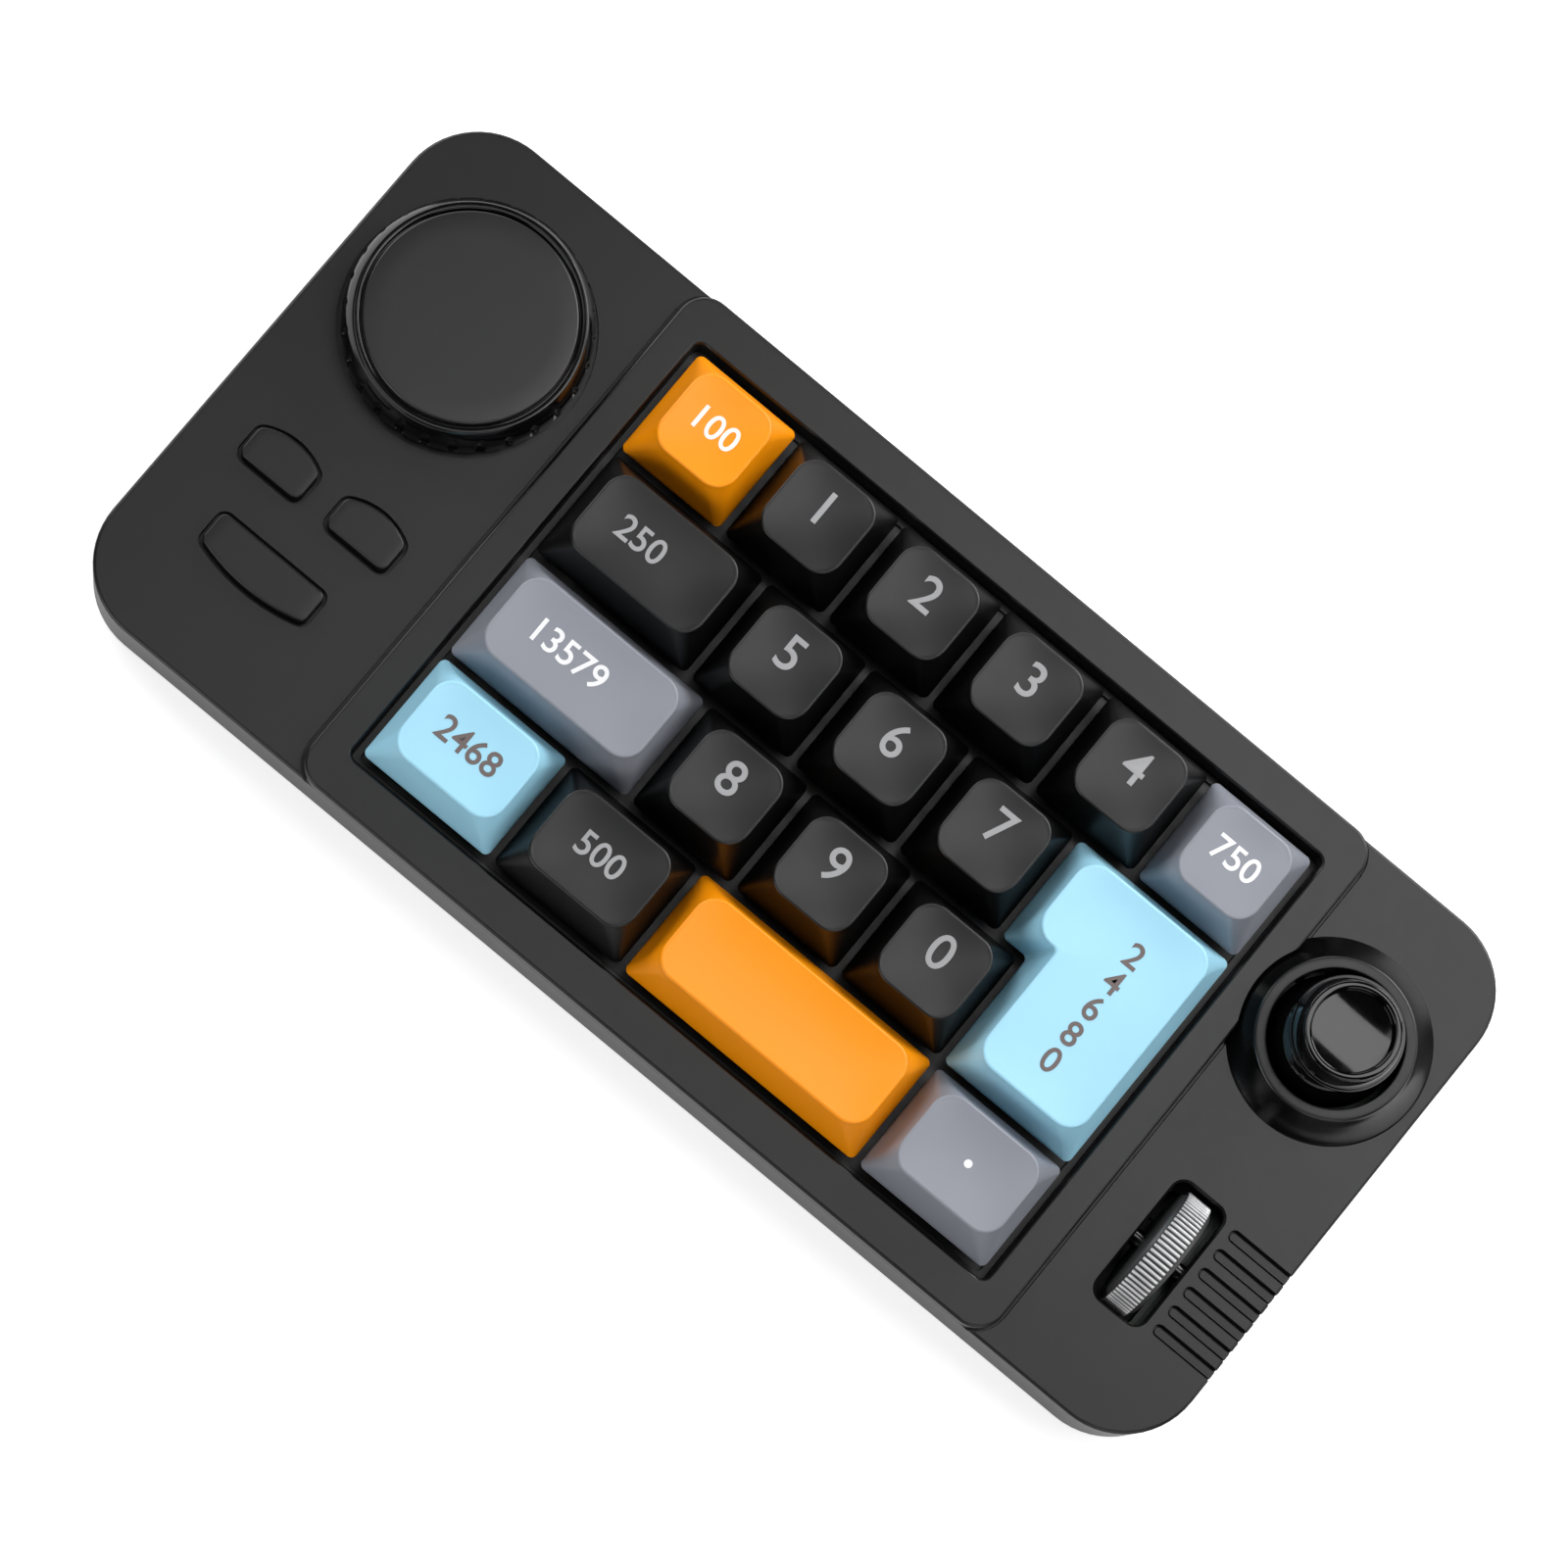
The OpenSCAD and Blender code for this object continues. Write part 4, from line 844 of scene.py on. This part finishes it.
# A narrow channel runs along both sides and round the end of each groove's floor, and a shadow
# gap follows the frame's two long walls
channels = [channel_shell(GROOVE_X, y, GROOVE_HALF, CHANNEL_W, GROOVE_FLOOR - CHANNEL_DEPTH,
                          GROOVE_FLOOR + CHANNEL_OVER) for y in GROOVE_YS]
seams = [bar_shell(x0, x1, -FRAME_REACH, FRAME_REACH, DECK - SEAM_DEPTH, DECK + SEAM_OVER)
         for x0, x1 in ((FRAME_LEFT - SEAM, FRAME_LEFT + SEAM_UNDER_FRAME),
                        (FRAME_RIGHT - SEAM_UNDER_FRAME, FRAME_RIGHT + SEAM))]
softened("top_cover", "case_black", cover_edges, channels + seams)
softened("key_frame", "frame_black", frame_edges)

# ---------------------------------------------------------------- carried-over CAD nodes
NODE_FINISH = {
    "bottom_cover": "case_under", "switch_plate": "plate_steel", "main_pcb": "board",
    "board_chips": "chip", "usb_socket": "steel", "switch_housings": "switch_black",
    "stabiliser_housings": "switch_black", "case_screws": "screw_black",
    "plate_screws": "steel", "rubber_feet": "foot_rubber", "dial_shaft": "steel",
    "dial_encoder": "chip", "dial_nut": "brass", "button_switches": "chip",
    "stick_post": "steel", "stick_gimbal": "steel", "stick_housing": "switch_black",
    "wheel_axle": "screw_black", "wheel_holder": "well_gloss", "wheel_encoder": "chip",
}
for node, finish in NODE_FINISH.items():
    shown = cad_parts[node]
    if not shown.material_slots:
        shown.data.materials.append(FINISH[finish])
    for holder in shown.material_slots:
        holder.material = FINISH[finish]

# ---------------------------------------------------------------- floor, light and camera
FLOOR_HALF = 4.0            # in metres
FLOOR_Z = -0.02             # in mm
FLOOR_GLOW = 0.63
FLOOR_MIRRORED = 0.4


def floor():
    """A wide pale floor just under the feet. It adds its own white where the camera sees it, and
    a share of that in reflections, so that it stays white and keeps the object's soft shadow."""
    half, low = FLOOR_HALF, FLOOR_Z * MM
    mesh = bpy.data.meshes.new("floor")
    mesh.from_pydata([(-half, -half, low), (half, -half, low), (half, half, low),
                      (-half, half, low)], [], [(0, 1, 2, 3)])
    made = bpy.data.objects.new("floor", mesh)
    bpy.context.scene.collection.objects.link(made)
    mat = bpy.data.materials.new("floor_white")
    mat.use_nodes = True
    tree = mat.node_tree
    shader = tree.nodes["Principled BSDF"]
    shader.inputs["Base Color"].default_value = (0.8, 0.8, 0.8, 1)
    shader.inputs["Roughness"].default_value = 0.9
    shader.inputs["Specular IOR Level"].default_value = 0.1
    rays = add_node(tree, "ShaderNodeLightPath").outputs
    mirrored = maths(tree, "MULTIPLY", rays["Is Glossy Ray"], FLOOR_MIRRORED)[0]
    seen = maths(tree, "MAXIMUM", rays["Is Camera Ray"], mirrored)[0]
    seen = maths(tree, "MAXIMUM", seen, rays["Is Transmission Ray"])[0]
    own = maths(tree, "MULTIPLY", seen, FLOOR_GLOW)[0]
    glow = add_node(tree, "ShaderNodeEmission", [("Strength", own)])
    both = add_node(tree, "ShaderNodeAddShader", [(0, shader.outputs[0]), (1, glow.outputs[0])])
    tree.links.new(both.outputs[0], tree.nodes["Material Output"].inputs["Surface"])
    mesh.materials.append(mat)


def area(name, at, target, width, depth, bright):
    """A soft rectangular lamp at a place, turned to a target; places and sizes in metres. Its
    power is pi times its face times the brightness."""
    data = bpy.data.lights.new(name, "AREA")
    data.shape = "RECTANGLE"
    data.size, data.size_y = width, depth
    data.energy = math.pi * width * depth * bright
    lamp = bpy.data.objects.new(name, data)
    bpy.context.scene.collection.objects.link(lamp)
    lamp.location = at
    way = Vector(target) - Vector(at)
    lamp.rotation_euler = way.to_track_quat("-Z", "Y").to_euler()


# Soft square lamps all round: name, azimuth and elevation in degrees, brightness of the face
LAMPS = (
    ("lamp_back", 67.5, 28, 8.0), ("lamp_right", 22.5, 28, 1.6),
    ("lamp_front_left", 247.5, 28, 3.2), ("lamp_left", 160, 26, 4.6),
    ("lamp_front_right", 315, 36, 2.0), ("lamp_back_left", 125, 13, 2.2),
)
LAMP_SIDE = 0.45
LAMP_AWAY = 0.8
LAMP_TARGET = (0, 0, 0.02)
# Panels lying flat overhead: name, centre, width, depth, brightness
PANELS = (("panel_over", 0.225, 0.205, 0.57, 0.27, 3.7),
          ("panel_front", -0.15, 0.0, 0.3, 0.24, 1.35))
PANEL_Z = 0.8


def studio():
    """Surroundings that are white to the camera only, soft lamps round the keypad that face it,
    and two panels lying flat overhead."""
    world = bpy.data.worlds.new("studio")
    bpy.context.scene.world = world
    world.use_nodes = True
    tree = world.node_tree
    back = tree.nodes["Background"]
    back.inputs["Color"].default_value = (1, 1, 1, 1)
    seen = add_node(tree, "ShaderNodeLightPath").outputs["Is Camera Ray"]
    tree.links.new(ranged(tree, seen, 0.02, 1.0, 0, 1), back.inputs["Strength"])
    for name, azimuth, elevation, bright in LAMPS:
        a, e = math.radians(azimuth), math.radians(elevation)
        at = (LAMP_AWAY * math.cos(e) * math.cos(a), LAMP_AWAY * math.cos(e) * math.sin(a),
              LAMP_AWAY * math.sin(e))
        area(name, at, LAMP_TARGET, LAMP_SIDE, LAMP_SIDE, bright)
    for name, x, y, width, depth, bright in PANELS:
        area(name, (x, y, PANEL_Z), (x, y, 0), width, depth, bright)


# Camera: place in mm, the directions to its right, up and back, lens and sensor in mm
CAMERA_AT = (0.814, -147.448, 888.826)
CAMERA_RIGHT = (0.76984723, 0.62985829, 0.10302319)
CAMERA_UP = (-0.63822447, 0.75919448, 0.12764507)
CAMERA_BACK = (0.00218367, -0.16401913, 0.98645474)
LENS = 143.53
SENSOR = 36


def camera():
    """Long lens above the front of the keypad, rolled so that its left end points up and left."""
    data = bpy.data.cameras.new("camera")
    data.sensor_width = SENSOR
    data.lens = LENS
    data.clip_end = 20
    made = bpy.data.objects.new("camera", data)
    bpy.context.scene.collection.objects.link(made)
    turn = Matrix((CAMERA_RIGHT, CAMERA_UP, CAMERA_BACK)).transposed()
    made.matrix_world = Matrix.Translation(Vector(CAMERA_AT) * MM) @ turn.to_4x4()
    bpy.context.scene.camera = made


floor()
studio()
camera()
bpy.context.scene.view_settings.view_transform = "Standard"

bpy.context.view_layer.update()
